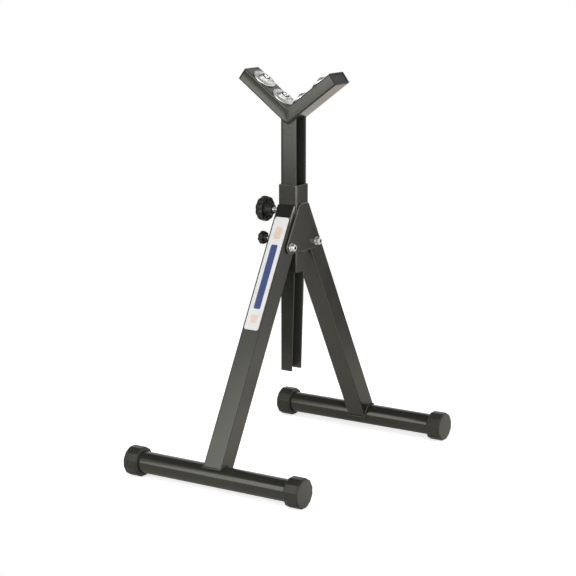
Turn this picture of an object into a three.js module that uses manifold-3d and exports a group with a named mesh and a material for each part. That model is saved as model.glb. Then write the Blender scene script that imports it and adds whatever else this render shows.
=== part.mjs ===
// A folding roller stand: two leaning legs on round feet, a clamped sliding mast
// and a V-shaped head that carries four ball transfer units.
// Millimetres. +Z is up, X runs along the feet, Y is the way the legs spread.
// The origin is on the floor under the middle of the mast.

import * as THREE from 'three';
import { mergeVertices } from 'three/addons/utils/BufferGeometryUtils.js';
import Module from 'manifold-3d';

const wasm = await Module();
wasm.setup();

// Mast and sleeve
const mastSide = 36;
const mastWall = 3;
const mastBend = 5;
const mastTailDepth = 26;
const mastTaperLength = 320;
const mastExposed = 116;
const mastTail = 198;
const mastClearance = 1;
const sleeveWall = 2;
const sleeveCorner = 3;
const sleeveAbovePivot = 116;
const sleeveBelowPivot = 54;

// Legs
const pivotHeight = 430;
const legLean = THREE.MathUtils.degToRad(28.7);
const legSideClearance = 1;
const legFoldClearance = 4;
const legTopClearance = 4;
const legWall = 2;
const legCorner = 3;
const closureStart = 53;
const closureDepth = 10;

// Label on the front leg
const labelWidth = 37;
const labelLength = 228;
const labelThickness = 0.5;
const labelCorner = 5;
const labelTopMargin = 1;

// Feet
const footLength = 396;
const footTubeDiameter = 42;
const footTubeWall = 2;
const capAcrossFlats = 56;
const capSides = 12;
const capLength = 31;
const capEnd = 5;
const capChamfer = 3;

// Gusset plates
const gussetThickness = 3;
const gussetCorner = 13;
const gussetRise = 68;
const gussetTopSpacing = 11;

// Leg pivot fasteners
const pivotBoltDiameter = 8;
const pivotHexAcrossFlats = 13;
const pivotHeadHeight = 5.3;
const pivotNutHeight = 6.5;
const pivotCollarDiameter = 11.5;
const pivotCollarHeight = 2;
const pivotWasherDiameter = 16;
const pivotWasherThickness = 1.6;
const pivotBoltEnd = 1.5;

// Mast clamp
const clampBelowGussetTop = 19;
const clampScrewDiameter = 10;
const clampNutAcrossFlats = 17;
const clampNutHeight = 8;
const clampScrewShown = 14;
const clampPadDiameter = 8.8;
const clampPadLength = 3.7;
const clampKnob = { diameter: 50, thickness: 16, lobes: 10, lobeDepth: 3, edge: 3.5, hubDiameter: 24,
  hubLength: 12, socketDepth: 20 };

// Leg locks
const lockSpacing = 0.7;
const lockScrewDiameter = 6;
const lockNutAcrossFlats = 10;
const lockNutHeight = 5;
const lockScrewShown = 5;
const lockPadDiameter = 5.2;
const lockPadLength = 2.7;
const lockKnob = { diameter: 25, thickness: 11, lobes: 8, lobeDepth: 2, edge: 2, hubDiameter: 13,
  hubLength: 5, socketDepth: 11 };

// V-shaped head
const armRise = THREE.MathUtils.degToRad(36.6);
const armWidth = 48;
const armDepth = 25;
const armWall = 2;
const armCorner = 2.5;
const armEndMargin = 12.5;
const plugFlange = 2.5;
const plugInsert = 8;

// Ball transfer units
const flangeDiameter = 47;
const flangeThickness = 3;
const flangeSpacing = 7.5;
const flangeCornerMargin = 5.5;
const domeDiameter = 28;
const domeHeight = 8.2;
const domeShoulder = 2.4;
const cupDiameter = 26;
const cupFloor = 2.2;
const ballDiameter = 15.9;
const ballCentreHeight = 4.3;
const ballClearance = 0.35;
const screwDiameter = 4;
const screwHeadDiameter = 6.8;
const screwHeadHeight = 2;
const screwGrip = 4;
const screwsPerUnit = 3;
const screwCircleDiameter = 38;

// Fits
const boltClearance = 0.3;
const seatGap = 0.3;
const weldGap = 0.3;

// Worked-out sizes and places
const sleeveSide = mastSide + 2 * (mastClearance + sleeveWall);
const legSide = sleeveSide - 2 * legSideClearance;
const pivotY = sleeveSide / 2 + legFoldClearance + legSide / 2;
const footAxisHeight = capAcrossFlats / 2;
const legReach = (pivotHeight - footAxisHeight) / Math.cos(legLean);
const footAxisY = pivotY + legReach * Math.sin(legLean);
const sleeveTop = pivotHeight + sleeveAbovePivot;
const sleeveBottom = pivotHeight - sleeveBelowPivot;
const headTip = sleeveTop + mastExposed;
const headCorner = headTip + armDepth / Math.cos(armRise);
const gussetFace = sleeveSide / 2 + gussetThickness;
const bevelDistance = pivotY - sleeveSide / 2 - legTopClearance;
const legOuterEnd = (legSide / 2 * Math.cos(legLean) + bevelDistance) / Math.sin(legLean);
const clampHeight = pivotHeight + gussetRise + gussetCorner - clampBelowGussetTop;
const lockRise = hexRadius(pivotHexAcrossFlats) + hexRadius(lockNutAcrossFlats) + lockSpacing;
const unitPitch = flangeDiameter + flangeSpacing;
const firstUnit = flangeCornerMargin + flangeDiameter / 2;
const armLength = firstUnit + unitPitch + flangeDiameter / 2 + armEndMargin;
const armTubeEnd = armLength - plugFlange - seatGap;
const farBeyond = 2 * (legReach + headCorner);

// Round pieces' sides
const tubeSides = 28;
const rodSides = 16;
const smallSides = 10;
const domeSides = 20;
const ballSides = 16;
const ballRings = 10;
const arcSteps = 2;
const plateArcSteps = 5;
const domeSteps = 3;
const stepsPerLobe = 5;
const vertexMerge = 1e-4;

const paint = { color: 0x4b4b47, roughness: 0.42, metalness: 0.35 };
const zinc = { color: 0xd8d8d4, roughness: 0.28, metalness: 0.95 };
const ballSteel = { color: 0xf0f0ee, roughness: 0.08, metalness: 1 };
const capPlastic = { color: 0x2b2b29, roughness: 0.62, metalness: 0 };
const knobPlastic = { color: 0x1c1c1b, roughness: 0.5, metalness: 0 };
const labelFilm = { color: 0xe9e9ea, roughness: 0.4, metalness: 0 };
const brassPad = { color: 0xb08d4a, roughness: 0.4, metalness: 0.9 };

// Corner radius of a hexagon from its size across flats.
function hexRadius(acrossFlats) {
  return acrossFlats / 2 / Math.cos(Math.PI / 6);
}

// A closed solid from a geometry's triangles, with its faces pointing out.
function solidFrom(geometry) {
  const bare = geometry.index ? geometry.toNonIndexed() : geometry.clone();
  bare.deleteAttribute('normal');
  bare.deleteAttribute('uv');
  const merged = mergeVertices(bare, vertexMerge);
  const corners = merged.attributes.position;
  const index = merged.index.array;
  const triangles = [];
  const a = new THREE.Vector3();
  const b = new THREE.Vector3();
  const c = new THREE.Vector3();
  let signedVolume = 0;
  for (let i = 0; i < index.length; i += 3) {
    const [p, q, r] = [index[i], index[i + 1], index[i + 2]];
    if (p === q || q === r || r === p) continue;
    triangles.push([p, q, r]);
    a.fromBufferAttribute(corners, p);
    b.fromBufferAttribute(corners, q);
    c.fromBufferAttribute(corners, r);
    signedVolume += a.dot(b.cross(c));
  }
  const outward = signedVolume > 0 ? triangles : triangles.map(([p, q, r]) => [p, r, q]);
  return new wasm.Manifold(new wasm.Mesh({
    numProp: 3,
    vertProperties: new Float32Array(corners.array),
    triVerts: new Uint32Array(outward.flat()),
  }));
}

// A flat-shaded geometry from a solid.
function geometryFrom(solid) {
  const mesh = solid.getMesh();
  const geometry = new THREE.BufferGeometry();
  geometry.setAttribute('position', new THREE.BufferAttribute(mesh.vertProperties, 3));
  geometry.setIndex(new THREE.BufferAttribute(mesh.triVerts, 1));
  const flat = geometry.toNonIndexed();
  flat.computeVertexNormals();
  return flat;
}

// A named sub-part with its own material.
function addPart(parent, name, solid, look) {
  const mesh = new THREE.Mesh(geometryFrom(solid), new THREE.MeshStandardMaterial(look));
  mesh.name = name;
  parent.add(mesh);
  return mesh;
}

function addGroup(parent) {
  const group = new THREE.Group();
  parent.add(group);
  return group;
}

// A box between two corners.
function block(low, high) {
  const size = high.map((value, axis) => value - low[axis]);
  const middle = high.map((value, axis) => (value + low[axis]) / 2);
  return new THREE.BoxGeometry(...size).translate(...middle);
}

// A round bar along X.
function barX(radius, fromX, toX, sides = rodSides) {
  const bar = new THREE.CylinderGeometry(radius, radius, Math.abs(toX - fromX), sides);
  return bar.rotateZ(Math.PI / 2).translate((fromX + toX) / 2, 0, 0);
}

// A round bar along Z.
function barZ(radius, fromZ, toZ, sides = rodSides) {
  const bar = new THREE.CylinderGeometry(radius, radius, Math.abs(toZ - fromZ), sides);
  return bar.rotateX(Math.PI / 2).translate(0, 0, (fromZ + toZ) / 2);
}

// A hexagonal bar along X.
function hexX(acrossFlats, fromX, toX) {
  return barX(hexRadius(acrossFlats), fromX, toX, 6);
}

// Lays a flat outline's plane across X: outline x becomes Y, outline y becomes Z, depth becomes X.
function acrossX(geometry) {
  const turn = new THREE.Matrix4();
  turn.makeBasis(new THREE.Vector3(0, 1, 0), new THREE.Vector3(0, 0, 1), new THREE.Vector3(1, 0, 0));
  return geometry.applyMatrix4(turn);
}

// Lays a flat outline's plane across Y: outline x becomes X, outline y becomes Z, depth becomes -Y.
function acrossY(geometry) {
  return geometry.rotateX(Math.PI / 2);
}

// A rectangle with round corners between two corners.
function roundedRectangle(low, high, radius, Outline = THREE.Shape) {
  const outline = new Outline();
  outline.absarc(high[0] - radius, high[1] - radius, radius, 0, Math.PI / 2);
  outline.absarc(low[0] + radius, high[1] - radius, radius, Math.PI / 2, Math.PI);
  outline.absarc(low[0] + radius, low[1] + radius, radius, Math.PI, 1.5 * Math.PI);
  outline.absarc(high[0] - radius, low[1] + radius, radius, 1.5 * Math.PI, 2 * Math.PI);
  outline.closePath();
  return outline;
}

// A straight prism of an outline along +Z.
function prism(outline, depth, steps = arcSteps) {
  return new THREE.ExtrudeGeometry(outline, { depth, bevelEnabled: false, curveSegments: steps });
}

// A rectangular tube's outline, centred, with its bore.
function tubeOutline(width, height, wall, corner) {
  const outer = roundedRectangle([-width / 2, -height / 2], [width / 2, height / 2], corner);
  const inner = [width / 2 - wall, height / 2 - wall];
  outer.holes.push(roundedRectangle([-inner[0], -inner[1]], inner, corner - wall / 2, THREE.Path));
  return outer;
}

// A flat outline that wraps equal circles set at the corners of a convex polygon, drawn anticlockwise.
function wrappedCircles(centres, radius) {
  const outline = new THREE.Shape();
  const count = centres.length;
  const edgeNormal = (from, to) => Math.atan2(to[1] - from[1], to[0] - from[0]) - Math.PI / 2;
  centres.forEach((centre, i) => {
    const start = edgeNormal(centres[(i + count - 1) % count], centre);
    const end = edgeNormal(centre, centres[(i + 1) % count]);
    outline.absarc(centre[0], centre[1], radius, start, end);
  });
  outline.closePath();
  return outline;
}

function roundHole(x, y, radius) {
  const hole = new THREE.Path();
  hole.absarc(x, y, radius, 0, 2 * Math.PI);
  return hole;
}

// A star knob along X: the hub starts at x = 0 and the lobed disc lies on its -X side.
function knobSolid(size, threadDiameter) {
  const points = [];
  const steps = size.lobes * stepsPerLobe;
  for (let i = 0; i < steps; i += 1) {
    const angle = 2 * Math.PI * i / steps;
    const dip = size.lobeDepth * (1 - Math.cos(size.lobes * angle)) / 2;
    const radius = size.diameter / 2 - dip;
    points.push(new THREE.Vector2(radius * Math.cos(angle), radius * Math.sin(angle)));
  }
  const disc = new THREE.ExtrudeGeometry(new THREE.Shape(points), {
    depth: size.thickness - 2 * size.edge,
    bevelThickness: size.edge,
    bevelSize: size.edge,
    bevelOffset: -size.edge,
    bevelSegments: 2,
  });
  acrossX(disc).translate(size.edge - size.thickness - size.hubLength, 0, 0);
  const hub = barX(size.hubDiameter / 2, -size.hubLength - size.edge, 0);
  const socket = barX(threadDiameter / 2 + seatGap, -size.socketDepth - seatGap, size.hubLength);
  return solidFrom(disc).add(solidFrom(hub)).subtract(solidFrom(socket));
}

// The mast: an upright channel, open toward +X, with tapering flanges and a V-cut top.
function mastSolid() {
  const half = mastSide / 2;
  const bottom = sleeveBottom - mastTail;
  const notch = headTip - weldGap;
  const shoulder = notch + half * Math.tan(armRise);
  const side = new THREE.Shape();
  side.moveTo(-half, bottom);
  side.lineTo(mastTailDepth - half, bottom);
  side.lineTo(half, bottom + mastTaperLength);
  side.lineTo(half, shoulder);
  side.lineTo(0, notch);
  side.lineTo(-half, shoulder);
  side.closePath();
  const profile = acrossY(prism(side, mastSide)).translate(0, half, 0);
  const height = shoulder - bottom;
  const outside = roundedRectangle([-half, -half], [half + mastSide, half], mastBend);
  const inner = half - mastWall;
  const inside = roundedRectangle([-inner, -inner], [half + mastSide, inner], mastBend - mastWall);
  const body = prism(outside, height).translate(0, 0, bottom);
  const channel = prism(inside, height + 2 * mastWall).translate(0, 0, bottom - mastWall);
  return solidFrom(profile).intersect(solidFrom(body)).subtract(solidFrom(channel));
}

// The sleeve that guides the mast, with the clamp screw's hole in its -X wall.
function sleeveSolid() {
  const outline = tubeOutline(sleeveSide, sleeveSide, sleeveWall, sleeveCorner);
  const tube = prism(outline, sleeveTop - sleeveBottom);
  tube.translate(0, 0, sleeveBottom);
  const hole = barX(clampScrewDiameter / 2 + boltClearance, -sleeveSide, 0).translate(0, 0, clampHeight);
  return solidFrom(tube).subtract(solidFrom(hole));
}

// Where a leg's lock screw stands in the gusset plate's plane.
function lockPlace(side) {
  return [side * (pivotY - lockRise * Math.sin(legLean)), pivotHeight + lockRise * Math.cos(legLean)];
}

// A gusset plate with pivot holes, and on the clamp side the holes for the three screws.
function gussetSolid(clampSide) {
  const top = pivotHeight + gussetRise;
  const topHalf = gussetTopSpacing / 2;
  const corners = [[-pivotY, pivotHeight], [pivotY, pivotHeight], [topHalf, top], [-topHalf, top]];
  const plate = wrappedCircles(corners, gussetCorner);
  for (const side of [-1, 1]) {
    plate.holes.push(roundHole(side * pivotY, pivotHeight, pivotBoltDiameter / 2 + boltClearance));
    if (clampSide) plate.holes.push(roundHole(...lockPlace(side), lockScrewDiameter / 2 + boltClearance));
  }
  if (clampSide) plate.holes.push(roundHole(0, clampHeight, clampScrewDiameter / 2 + boltClearance));
  return solidFrom(acrossX(prism(plate, gussetThickness, plateArcSteps)));
}

// Everything of a leg on one side of a vertical plane near the sleeve, in the leg's own frame.
function legBevel() {
  const space = block([-farBeyond, -farBeyond, -farBeyond], [farBeyond, -bevelDistance, farBeyond]);
  return solidFrom(space.rotateX(-legLean));
}

// A leg about its pivot: a square tube along Z, coped over the foot and bevelled beside the sleeve.
function legSolid() {
  const tube = prism(tubeOutline(legSide, legSide, legWall, legCorner), legReach + legOuterEnd);
  tube.translate(0, 0, -legReach);
  const foot = barX(footTubeDiameter / 2 + weldGap, -legSide, legSide, tubeSides);
  foot.translate(0, 0, -legReach);
  const pivot = barX(pivotBoltDiameter / 2 + boltClearance, -legSide, legSide);
  const inner = legSide / 2 - legWall;
  const window = block([-inner, 0, closureStart], [inner, legSide, 2 * legOuterEnd]);
  let leg = solidFrom(tube).subtract(legBevel());
  for (const cut of [foot, pivot, window]) leg = leg.subtract(solidFrom(cut));
  return leg;
}

// The closure that fills the window at the leg's top.
function closureSolid() {
  const half = legSide / 2 - legWall - seatGap;
  const low = [-half, legSide / 2 - closureDepth, closureStart + seatGap];
  const high = [half, legSide / 2, legOuterEnd];
  const fill = block(low, high);
  return solidFrom(fill).subtract(legBevel());
}

// The plain label on a leg's outer face.
function labelSolid() {
  const half = labelWidth / 2;
  const top = closureStart - labelTopMargin;
  const outline = roundedRectangle([-half, top - labelLength], [half, top], labelCorner);
  const film = acrossY(prism(outline, labelThickness));
  return solidFrom(film.translate(0, legSide / 2 + seatGap + labelThickness, 0));
}

function footTubeSolid() {
  const half = footLength / 2 - capEnd - seatGap;
  const tube = barX(footTubeDiameter / 2, -half, half, tubeSides);
  const bore = barX(footTubeDiameter / 2 - footTubeWall, -footLength, footLength, tubeSides);
  return solidFrom(tube).subtract(solidFrom(bore));
}

// A many-sided cup that covers the foot's +X end and rests on one of its flats.
function capSolid() {
  const cornerFactor = 1 / Math.cos(Math.PI / capSides);
  const outer = capAcrossFlats / 2 * cornerFactor;
  const bore = (footTubeDiameter / 2 + seatGap) * cornerFactor;
  const profile = [
    [0, capLength],
    [outer - capChamfer, capLength],
    [outer, capLength - capChamfer],
    [outer, 0],
    [bore, 0],
    [bore, capLength - capEnd],
    [0, capLength - capEnd],
  ];
  const points = profile.map(([radius, along]) => new THREE.Vector2(radius, along));
  const cup = new THREE.LatheGeometry(points, capSides, Math.PI / capSides);
  return solidFrom(cup.rotateZ(-Math.PI / 2).translate(footLength / 2 - capLength, 0, 0));
}

function pivotBoltSolid() {
  const end = gussetFace + pivotWasherThickness + pivotNutHeight + pivotCollarHeight + pivotBoltEnd;
  const head = hexX(pivotHexAcrossFlats, -gussetFace - pivotHeadHeight, -gussetFace);
  const shank = barX(pivotBoltDiameter / 2, -gussetFace - pivotHeadHeight / 2, end);
  return solidFrom(head).add(solidFrom(shank));
}

function pivotWasherSolid() {
  const washer = barX(pivotWasherDiameter / 2, gussetFace, gussetFace + pivotWasherThickness);
  const hole = barX(pivotBoltDiameter / 2 + boltClearance, 0, 2 * gussetFace);
  return solidFrom(washer).subtract(solidFrom(hole));
}

// A locking nut with a round collar on its outer end.
function pivotNutSolid() {
  const seat = gussetFace + pivotWasherThickness;
  const nut = hexX(pivotHexAcrossFlats, seat, seat + pivotNutHeight);
  const collar = barX(pivotCollarDiameter / 2, seat, seat + pivotNutHeight + pivotCollarHeight);
  const hole = barX(pivotBoltDiameter / 2 + boltClearance, 0, 2 * gussetFace);
  return solidFrom(nut).add(solidFrom(collar)).subtract(solidFrom(hole));
}

// A nut welded to the clamp-side gusset's outer face.
function weldNutSolid(acrossFlats, height, threadDiameter) {
  const nut = hexX(acrossFlats, -gussetFace - height, -gussetFace);
  const hole = barX(threadDiameter / 2 + boltClearance, -2 * gussetFace, 0);
  return solidFrom(nut).subtract(solidFrom(hole));
}

// A clamping screw along X: a pad that meets a face, a screw behind it and a star knob on its end.
function addScrewClamp(parent, name, face, pad, threadDiameter, nutHeight, shown, knob) {
  const padStart = face - seatGap;
  const screwStart = padStart - pad.length - seatGap;
  const knobStart = -gussetFace - nutHeight - shown;
  const screwEnd = knobStart - knob.socketDepth;
  const padLength = [padStart - pad.length, padStart];
  addPart(parent, `${name}_pad`, solidFrom(barX(pad.diameter / 2, ...padLength, smallSides)), brassPad);
  addPart(parent, `${name}_screw`, solidFrom(barX(threadDiameter / 2, screwEnd, screwStart)), zinc);
  const handle = addPart(parent, `${name}_knob`, knobSolid(knob, threadDiameter), knobPlastic);
  handle.position.x = knobStart;
}

// The cut that mitres an arm at the head's middle plane, in the arm's own frame.
function mitreCut() {
  const space = block([-farBeyond, -farBeyond, -farBeyond], [weldGap / 2, farBeyond, farBeyond]);
  return solidFrom(space.rotateY(armRise));
}

// Middles of the ball units along an arm.
function unitPlaces() {
  return [firstUnit, firstUnit + unitPitch];
}

// Middles of a ball unit's screws, round the unit's axis.
function screwPlaces() {
  const places = [];
  for (let i = 0; i < screwsPerUnit; i += 1) {
    const angle = 2 * Math.PI * i / screwsPerUnit;
    places.push([screwCircleDiameter / 2 * Math.cos(angle), screwCircleDiameter / 2 * Math.sin(angle)]);
  }
  return places;
}

// An arm of the head: a rectangular tube along X under its top face, with holes for cups and screws.
function armSolid() {
  const start = -armDepth * Math.tan(armRise);
  const tube = acrossX(prism(tubeOutline(armWidth, armDepth, armWall, armCorner), armTubeEnd - start));
  let arm = solidFrom(tube.translate(start, 0, -armDepth / 2)).subtract(mitreCut());
  for (const place of unitPlaces()) {
    const cup = barZ(cupDiameter / 2 + seatGap, -armDepth / 2, armDepth, domeSides).translate(place, 0, 0);
    arm = arm.subtract(solidFrom(cup));
    for (const [along, across] of screwPlaces()) {
      const hole = barZ(screwDiameter / 2 + boltClearance, -armDepth / 2, armDepth, smallSides);
      arm = arm.subtract(solidFrom(hole.translate(place + along, across, 0)));
    }
  }
  return arm;
}

// The plug that closes an arm's outer end.
function armPlugSolid() {
  const outline = roundedRectangle([-armWidth / 2, -armDepth / 2], [armWidth / 2, armDepth / 2], armCorner);
  const flange = acrossX(prism(outline, plugFlange)).translate(armLength - plugFlange, 0, -armDepth / 2);
  const half = [armWidth / 2 - armWall - seatGap, armDepth / 2 - armWall - seatGap];
  const core = roundedRectangle([-half[0], -half[1]], half, armCorner);
  const insert = acrossX(prism(core, plugInsert + seatGap + plugFlange / 2));
  insert.translate(armTubeEnd - plugInsert, 0, -armDepth / 2);
  return solidFrom(flange).add(solidFrom(insert));
}

// A ball unit's housing: a cup sunk in the arm, a round flange and a dome with the ball's seat.
function housingSolid() {
  const seat = ballDiameter / 2 + ballClearance;
  const seatBottom = ballCentreHeight - seat;
  const mouthAngle = Math.asin((domeHeight - ballCentreHeight) / seat);
  const outline = new THREE.Path();
  outline.moveTo(0, seatBottom - cupFloor);
  outline.lineTo(cupDiameter / 2, seatBottom - cupFloor);
  outline.lineTo(cupDiameter / 2, 0);
  outline.lineTo(flangeDiameter / 2, 0);
  outline.lineTo(flangeDiameter / 2, flangeThickness);
  outline.lineTo(domeDiameter / 2, flangeThickness);
  outline.quadraticCurveTo(domeDiameter / 2, domeHeight, domeDiameter / 2 - domeShoulder, domeHeight);
  outline.absarc(0, ballCentreHeight, seat, mouthAngle, -Math.PI / 2, true);
  const points = outline.getPoints(domeSteps);
  points[points.length - 1].x = 0;
  const shell = new THREE.LatheGeometry(points, domeSides).rotateX(Math.PI / 2);
  let housing = solidFrom(shell);
  for (const [along, across] of screwPlaces()) {
    const hole = barZ(screwDiameter / 2 + boltClearance, -flangeThickness, 2 * flangeThickness, smallSides);
    housing = housing.subtract(solidFrom(hole.translate(along, across, 0)));
  }
  return housing;
}

function screwSolid() {
  const headStart = flangeThickness + seatGap;
  const shankStart = -seatGap - armWall - screwGrip;
  const shankEnd = flangeThickness + screwHeadHeight;
  const head = barZ(screwHeadDiameter / 2, headStart, headStart + screwHeadHeight, smallSides);
  const shank = barZ(screwDiameter / 2, shankStart, shankEnd, smallSides);
  return solidFrom(head).add(solidFrom(shank));
}

// A ball transfer unit on an arm's top face.
function addBallUnit(arm, name, place) {
  const unit = addGroup(arm);
  unit.position.set(place, 0, seatGap);
  addPart(unit, `${name}_housing`, housingSolid(), zinc);
  const sphere = new THREE.SphereGeometry(ballDiameter / 2, ballSides, ballRings).rotateX(Math.PI / 2);
  const ball = addPart(unit, `${name}_ball`, solidFrom(sphere), ballSteel);
  ball.position.z = ballCentreHeight;
  screwPlaces().forEach(([along, across], i) => {
    const screw = addPart(unit, `${name}_screw_${i + 1}`, screwSolid(), zinc);
    screw.position.set(along, across, 0);
  });
}

// Sleeve, gussets, pivot fasteners and welded nuts.
function addHub(stand) {
  addPart(stand, 'sleeve', sleeveSolid(), paint);
  addPart(stand, 'gusset_plain', gussetSolid(false), paint).position.x = sleeveSide / 2;
  addPart(stand, 'gusset_clamp', gussetSolid(true), paint).position.x = -gussetFace;
  const clampNut = addPart(stand, 'clamp_nut',
    weldNutSolid(clampNutAcrossFlats, clampNutHeight, clampScrewDiameter), zinc);
  clampNut.position.z = clampHeight;
  for (const [name, side] of [['front', -1], ['rear', 1]]) {
    const pivot = addGroup(stand);
    pivot.position.set(0, side * pivotY, pivotHeight);
    addPart(pivot, `${name}_pivot_bolt`, pivotBoltSolid(), zinc);
    addPart(pivot, `${name}_pivot_washer`, pivotWasherSolid(), zinc);
    addPart(pivot, `${name}_pivot_nut`, pivotNutSolid(), zinc);
    const lock = addGroup(stand);
    lock.position.set(0, ...lockPlace(side));
    const nut = weldNutSolid(lockNutAcrossFlats, lockNutHeight, lockScrewDiameter);
    addPart(lock, `${name}_lock_nut`, nut, zinc);
  }
}

// A leg with its foot; the rear leg spreads toward +Y and the front one is the same turned half round.
function addLeg(stand, name, facing) {
  const half = addGroup(stand);
  half.rotation.z = facing;
  const leg = addGroup(half);
  leg.position.set(0, pivotY, pivotHeight);
  leg.rotation.x = legLean;
  addPart(leg, `${name}_leg`, legSolid(), paint);
  addPart(leg, `${name}_leg_closure`, closureSolid(), capPlastic);
  if (name === 'front') addPart(leg, 'front_label', labelSolid(), labelFilm);
  const foot = addGroup(half);
  foot.position.set(0, footAxisY, footAxisHeight);
  addPart(foot, `${name}_foot_tube`, footTubeSolid(), paint);
  addPart(foot, `${name}_foot_cap_a`, capSolid(), capPlastic);
  addPart(foot, `${name}_foot_cap_b`, capSolid(), capPlastic).rotation.z = Math.PI;
}

// The V-shaped head on the mast's top; the left arm is the right one turned half round.
function addHead(stand) {
  const head = addGroup(stand);
  head.position.z = headCorner;
  for (const [name, facing] of [['right', 0], ['left', Math.PI]]) {
    const half = addGroup(head);
    half.rotation.z = facing;
    const arm = addGroup(half);
    arm.rotation.y = -armRise;
    addPart(arm, `${name}_arm`, armSolid(), paint);
    addPart(arm, `${name}_arm_plug`, armPlugSolid(), capPlastic);
    unitPlaces().forEach((place, i) => addBallUnit(arm, `${name}_${['inner', 'outer'][i]}`, place));
  }
}

// The mast clamp and the two leg locks.
function addClamps(stand) {
  const clamp = addGroup(stand);
  clamp.position.z = clampHeight;
  const clampPad = { diameter: clampPadDiameter, length: clampPadLength };
  addScrewClamp(clamp, 'clamp', -mastSide / 2, clampPad, clampScrewDiameter, clampNutHeight,
    clampScrewShown, clampKnob);
  const lockPad = { diameter: lockPadDiameter, length: lockPadLength };
  for (const [name, side] of [['front_lock', -1], ['rear_lock', 1]]) {
    const lock = addGroup(stand);
    lock.position.set(0, ...lockPlace(side));
    addScrewClamp(lock, name, -legSide / 2, lockPad, lockScrewDiameter, lockNutHeight,
      lockScrewShown, lockKnob);
  }
}

const stand = new THREE.Group();
addHub(stand);
addPart(stand, 'mast', mastSolid(), paint);
addLeg(stand, 'front', Math.PI);
addLeg(stand, 'rear', 0);
addClamps(stand);
addHead(stand);

export default stand;
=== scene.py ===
"""Looks of the folding roller stand: painted legs, sleeve, mast and V-shaped head, plastic caps
and knobs, bright fasteners and ball units.

Shapes are worked out in millimetres, in the frame of the solids: +Z up, X along the feet, Y the way
the legs spread. put_piece() turns them into metres.
"""

import math

import bpy
import numpy as np
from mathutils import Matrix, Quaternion, Vector


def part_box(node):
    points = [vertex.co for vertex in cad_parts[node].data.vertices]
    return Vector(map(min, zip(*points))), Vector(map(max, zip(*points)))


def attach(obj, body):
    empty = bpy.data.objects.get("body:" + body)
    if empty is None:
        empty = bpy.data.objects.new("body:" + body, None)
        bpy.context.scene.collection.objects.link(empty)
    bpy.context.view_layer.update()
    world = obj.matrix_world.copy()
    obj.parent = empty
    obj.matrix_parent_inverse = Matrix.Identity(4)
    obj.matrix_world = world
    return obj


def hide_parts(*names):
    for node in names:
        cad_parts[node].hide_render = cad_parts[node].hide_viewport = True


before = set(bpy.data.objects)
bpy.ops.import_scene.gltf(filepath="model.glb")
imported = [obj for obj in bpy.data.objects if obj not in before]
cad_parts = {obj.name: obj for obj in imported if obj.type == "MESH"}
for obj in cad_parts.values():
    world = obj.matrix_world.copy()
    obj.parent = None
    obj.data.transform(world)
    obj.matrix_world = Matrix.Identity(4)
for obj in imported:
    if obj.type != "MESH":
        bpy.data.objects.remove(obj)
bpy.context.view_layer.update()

MM = 0.001
FULL_TURN = 2 * math.pi
MERGE_DISTANCE = 1e-4  # in millimetres
SHARP_ANGLE = math.radians(28)
X, Y, Z = range(3)


def middle_mm(node):
    """Middle of a node's box, in millimetres."""
    low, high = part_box(node)
    return (np.array(low) / MM + np.array(high) / MM) / 2


def span_mm(node, axis=X):
    """Where a node's solid starts and ends along an axis, in millimetres."""
    low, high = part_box(node)
    return low[axis] / MM, high[axis] / MM


# Sizes and places taken from the solids

SLEEVE_HALF = span_mm("sleeve")[1]
SLEEVE_FOOT, SLEEVE_TOP = span_mm("sleeve", Z)
MAST_HALF = span_mm("mast")[1]
MAST_FOOT = span_mm("mast", Z)[0]
GUSSET_FACE = span_mm("gusset_plain")[1]
GUSSET_FOOT, GUSSET_TOP = span_mm("gusset_plain", Z)
PIVOT_Y, PIVOT_HEIGHT = middle_mm("rear_pivot_bolt")[Y:]
FOOT_Y, FOOT_HEIGHT = middle_mm("rear_foot_tube")[Y:]
FOOT_TUBE_END = span_mm("rear_foot_tube")[1]
CAP_START, CAP_END = span_mm("rear_foot_cap_a")
LEG_HALF = span_mm("rear_leg")[1]
LEG_LEAN = math.atan2(FOOT_Y - PIVOT_Y, PIVOT_HEIGHT - FOOT_HEIGHT)
LEG_REACH = math.hypot(FOOT_Y - PIVOT_Y, PIVOT_HEIGHT - FOOT_HEIGHT)
BALL_INNER, BALL_OUTER = middle_mm("right_inner_ball"), middle_mm("right_outer_ball")
ARM_RISE = math.atan2(BALL_OUTER[Z] - BALL_INNER[Z], BALL_OUTER[X] - BALL_INNER[X])
PLUG_REACH = span_mm("right_arm_plug")[1]

# Sizes of the finished shapes

SEAT_GAP = 0.3  # between pieces that seat on one another
TUBE_WALL = 2
FOOT_TUBE_RADIUS = 21
CAP_APOTHEM = 28
CAP_SIDES = 12
CAP_FLOOR = 5
CAP_CHAMFER = 2.6
CAP_MOUTH_CHAMFER = 2
LEG_CORNER = 1.7
LEG_BEAD = 1.9
LEG_BEAD_PROUD, LEG_BEAD_RISE, LEG_BEAD_INSIDE = 0.4, 1.2, 0.985
SLEEVE_CORNER = 3
WINDOW_HALF = 18
WINDOW_START = 53
WINDOW_GAP = 4
CLOSURE_HALF = 17.7
CLOSURE_DEPTH = 10
CLOSURE_CORNER = 0.8
CLOSURE_EDGE = 0.4
LABEL_HALF_WIDTH = 16.2
LABEL_LENGTH = 228
LABEL_TOP = 52
LABEL_CORNER = 5
LABEL_FILM = 0.5
LABEL_EDGE = 0.18
GUSSET_CORNER = 13
GUSSET_TOP_HALF = 5.5
GUSSET_EDGE = 1.3
GUSSET_BEAD = 2.4
GUSSET_BEAD_ENDS = -8, 13
GUSSET_BEAD_PROUD, GUSSET_BEAD_DROP = 1.2, 0.4
PIVOT_HEX = 6.5
PIVOT_SHANK = 4
PIVOT_THREAD = {"radius": PIVOT_SHANK, "pitch": 1.25, "depth": 0.55}
WASHER_RADIUS = 8
WASHER_THICKNESS = 1.6
COLLAR_RADIUS = 5.75
COLLAR_HEIGHT = 2
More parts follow.
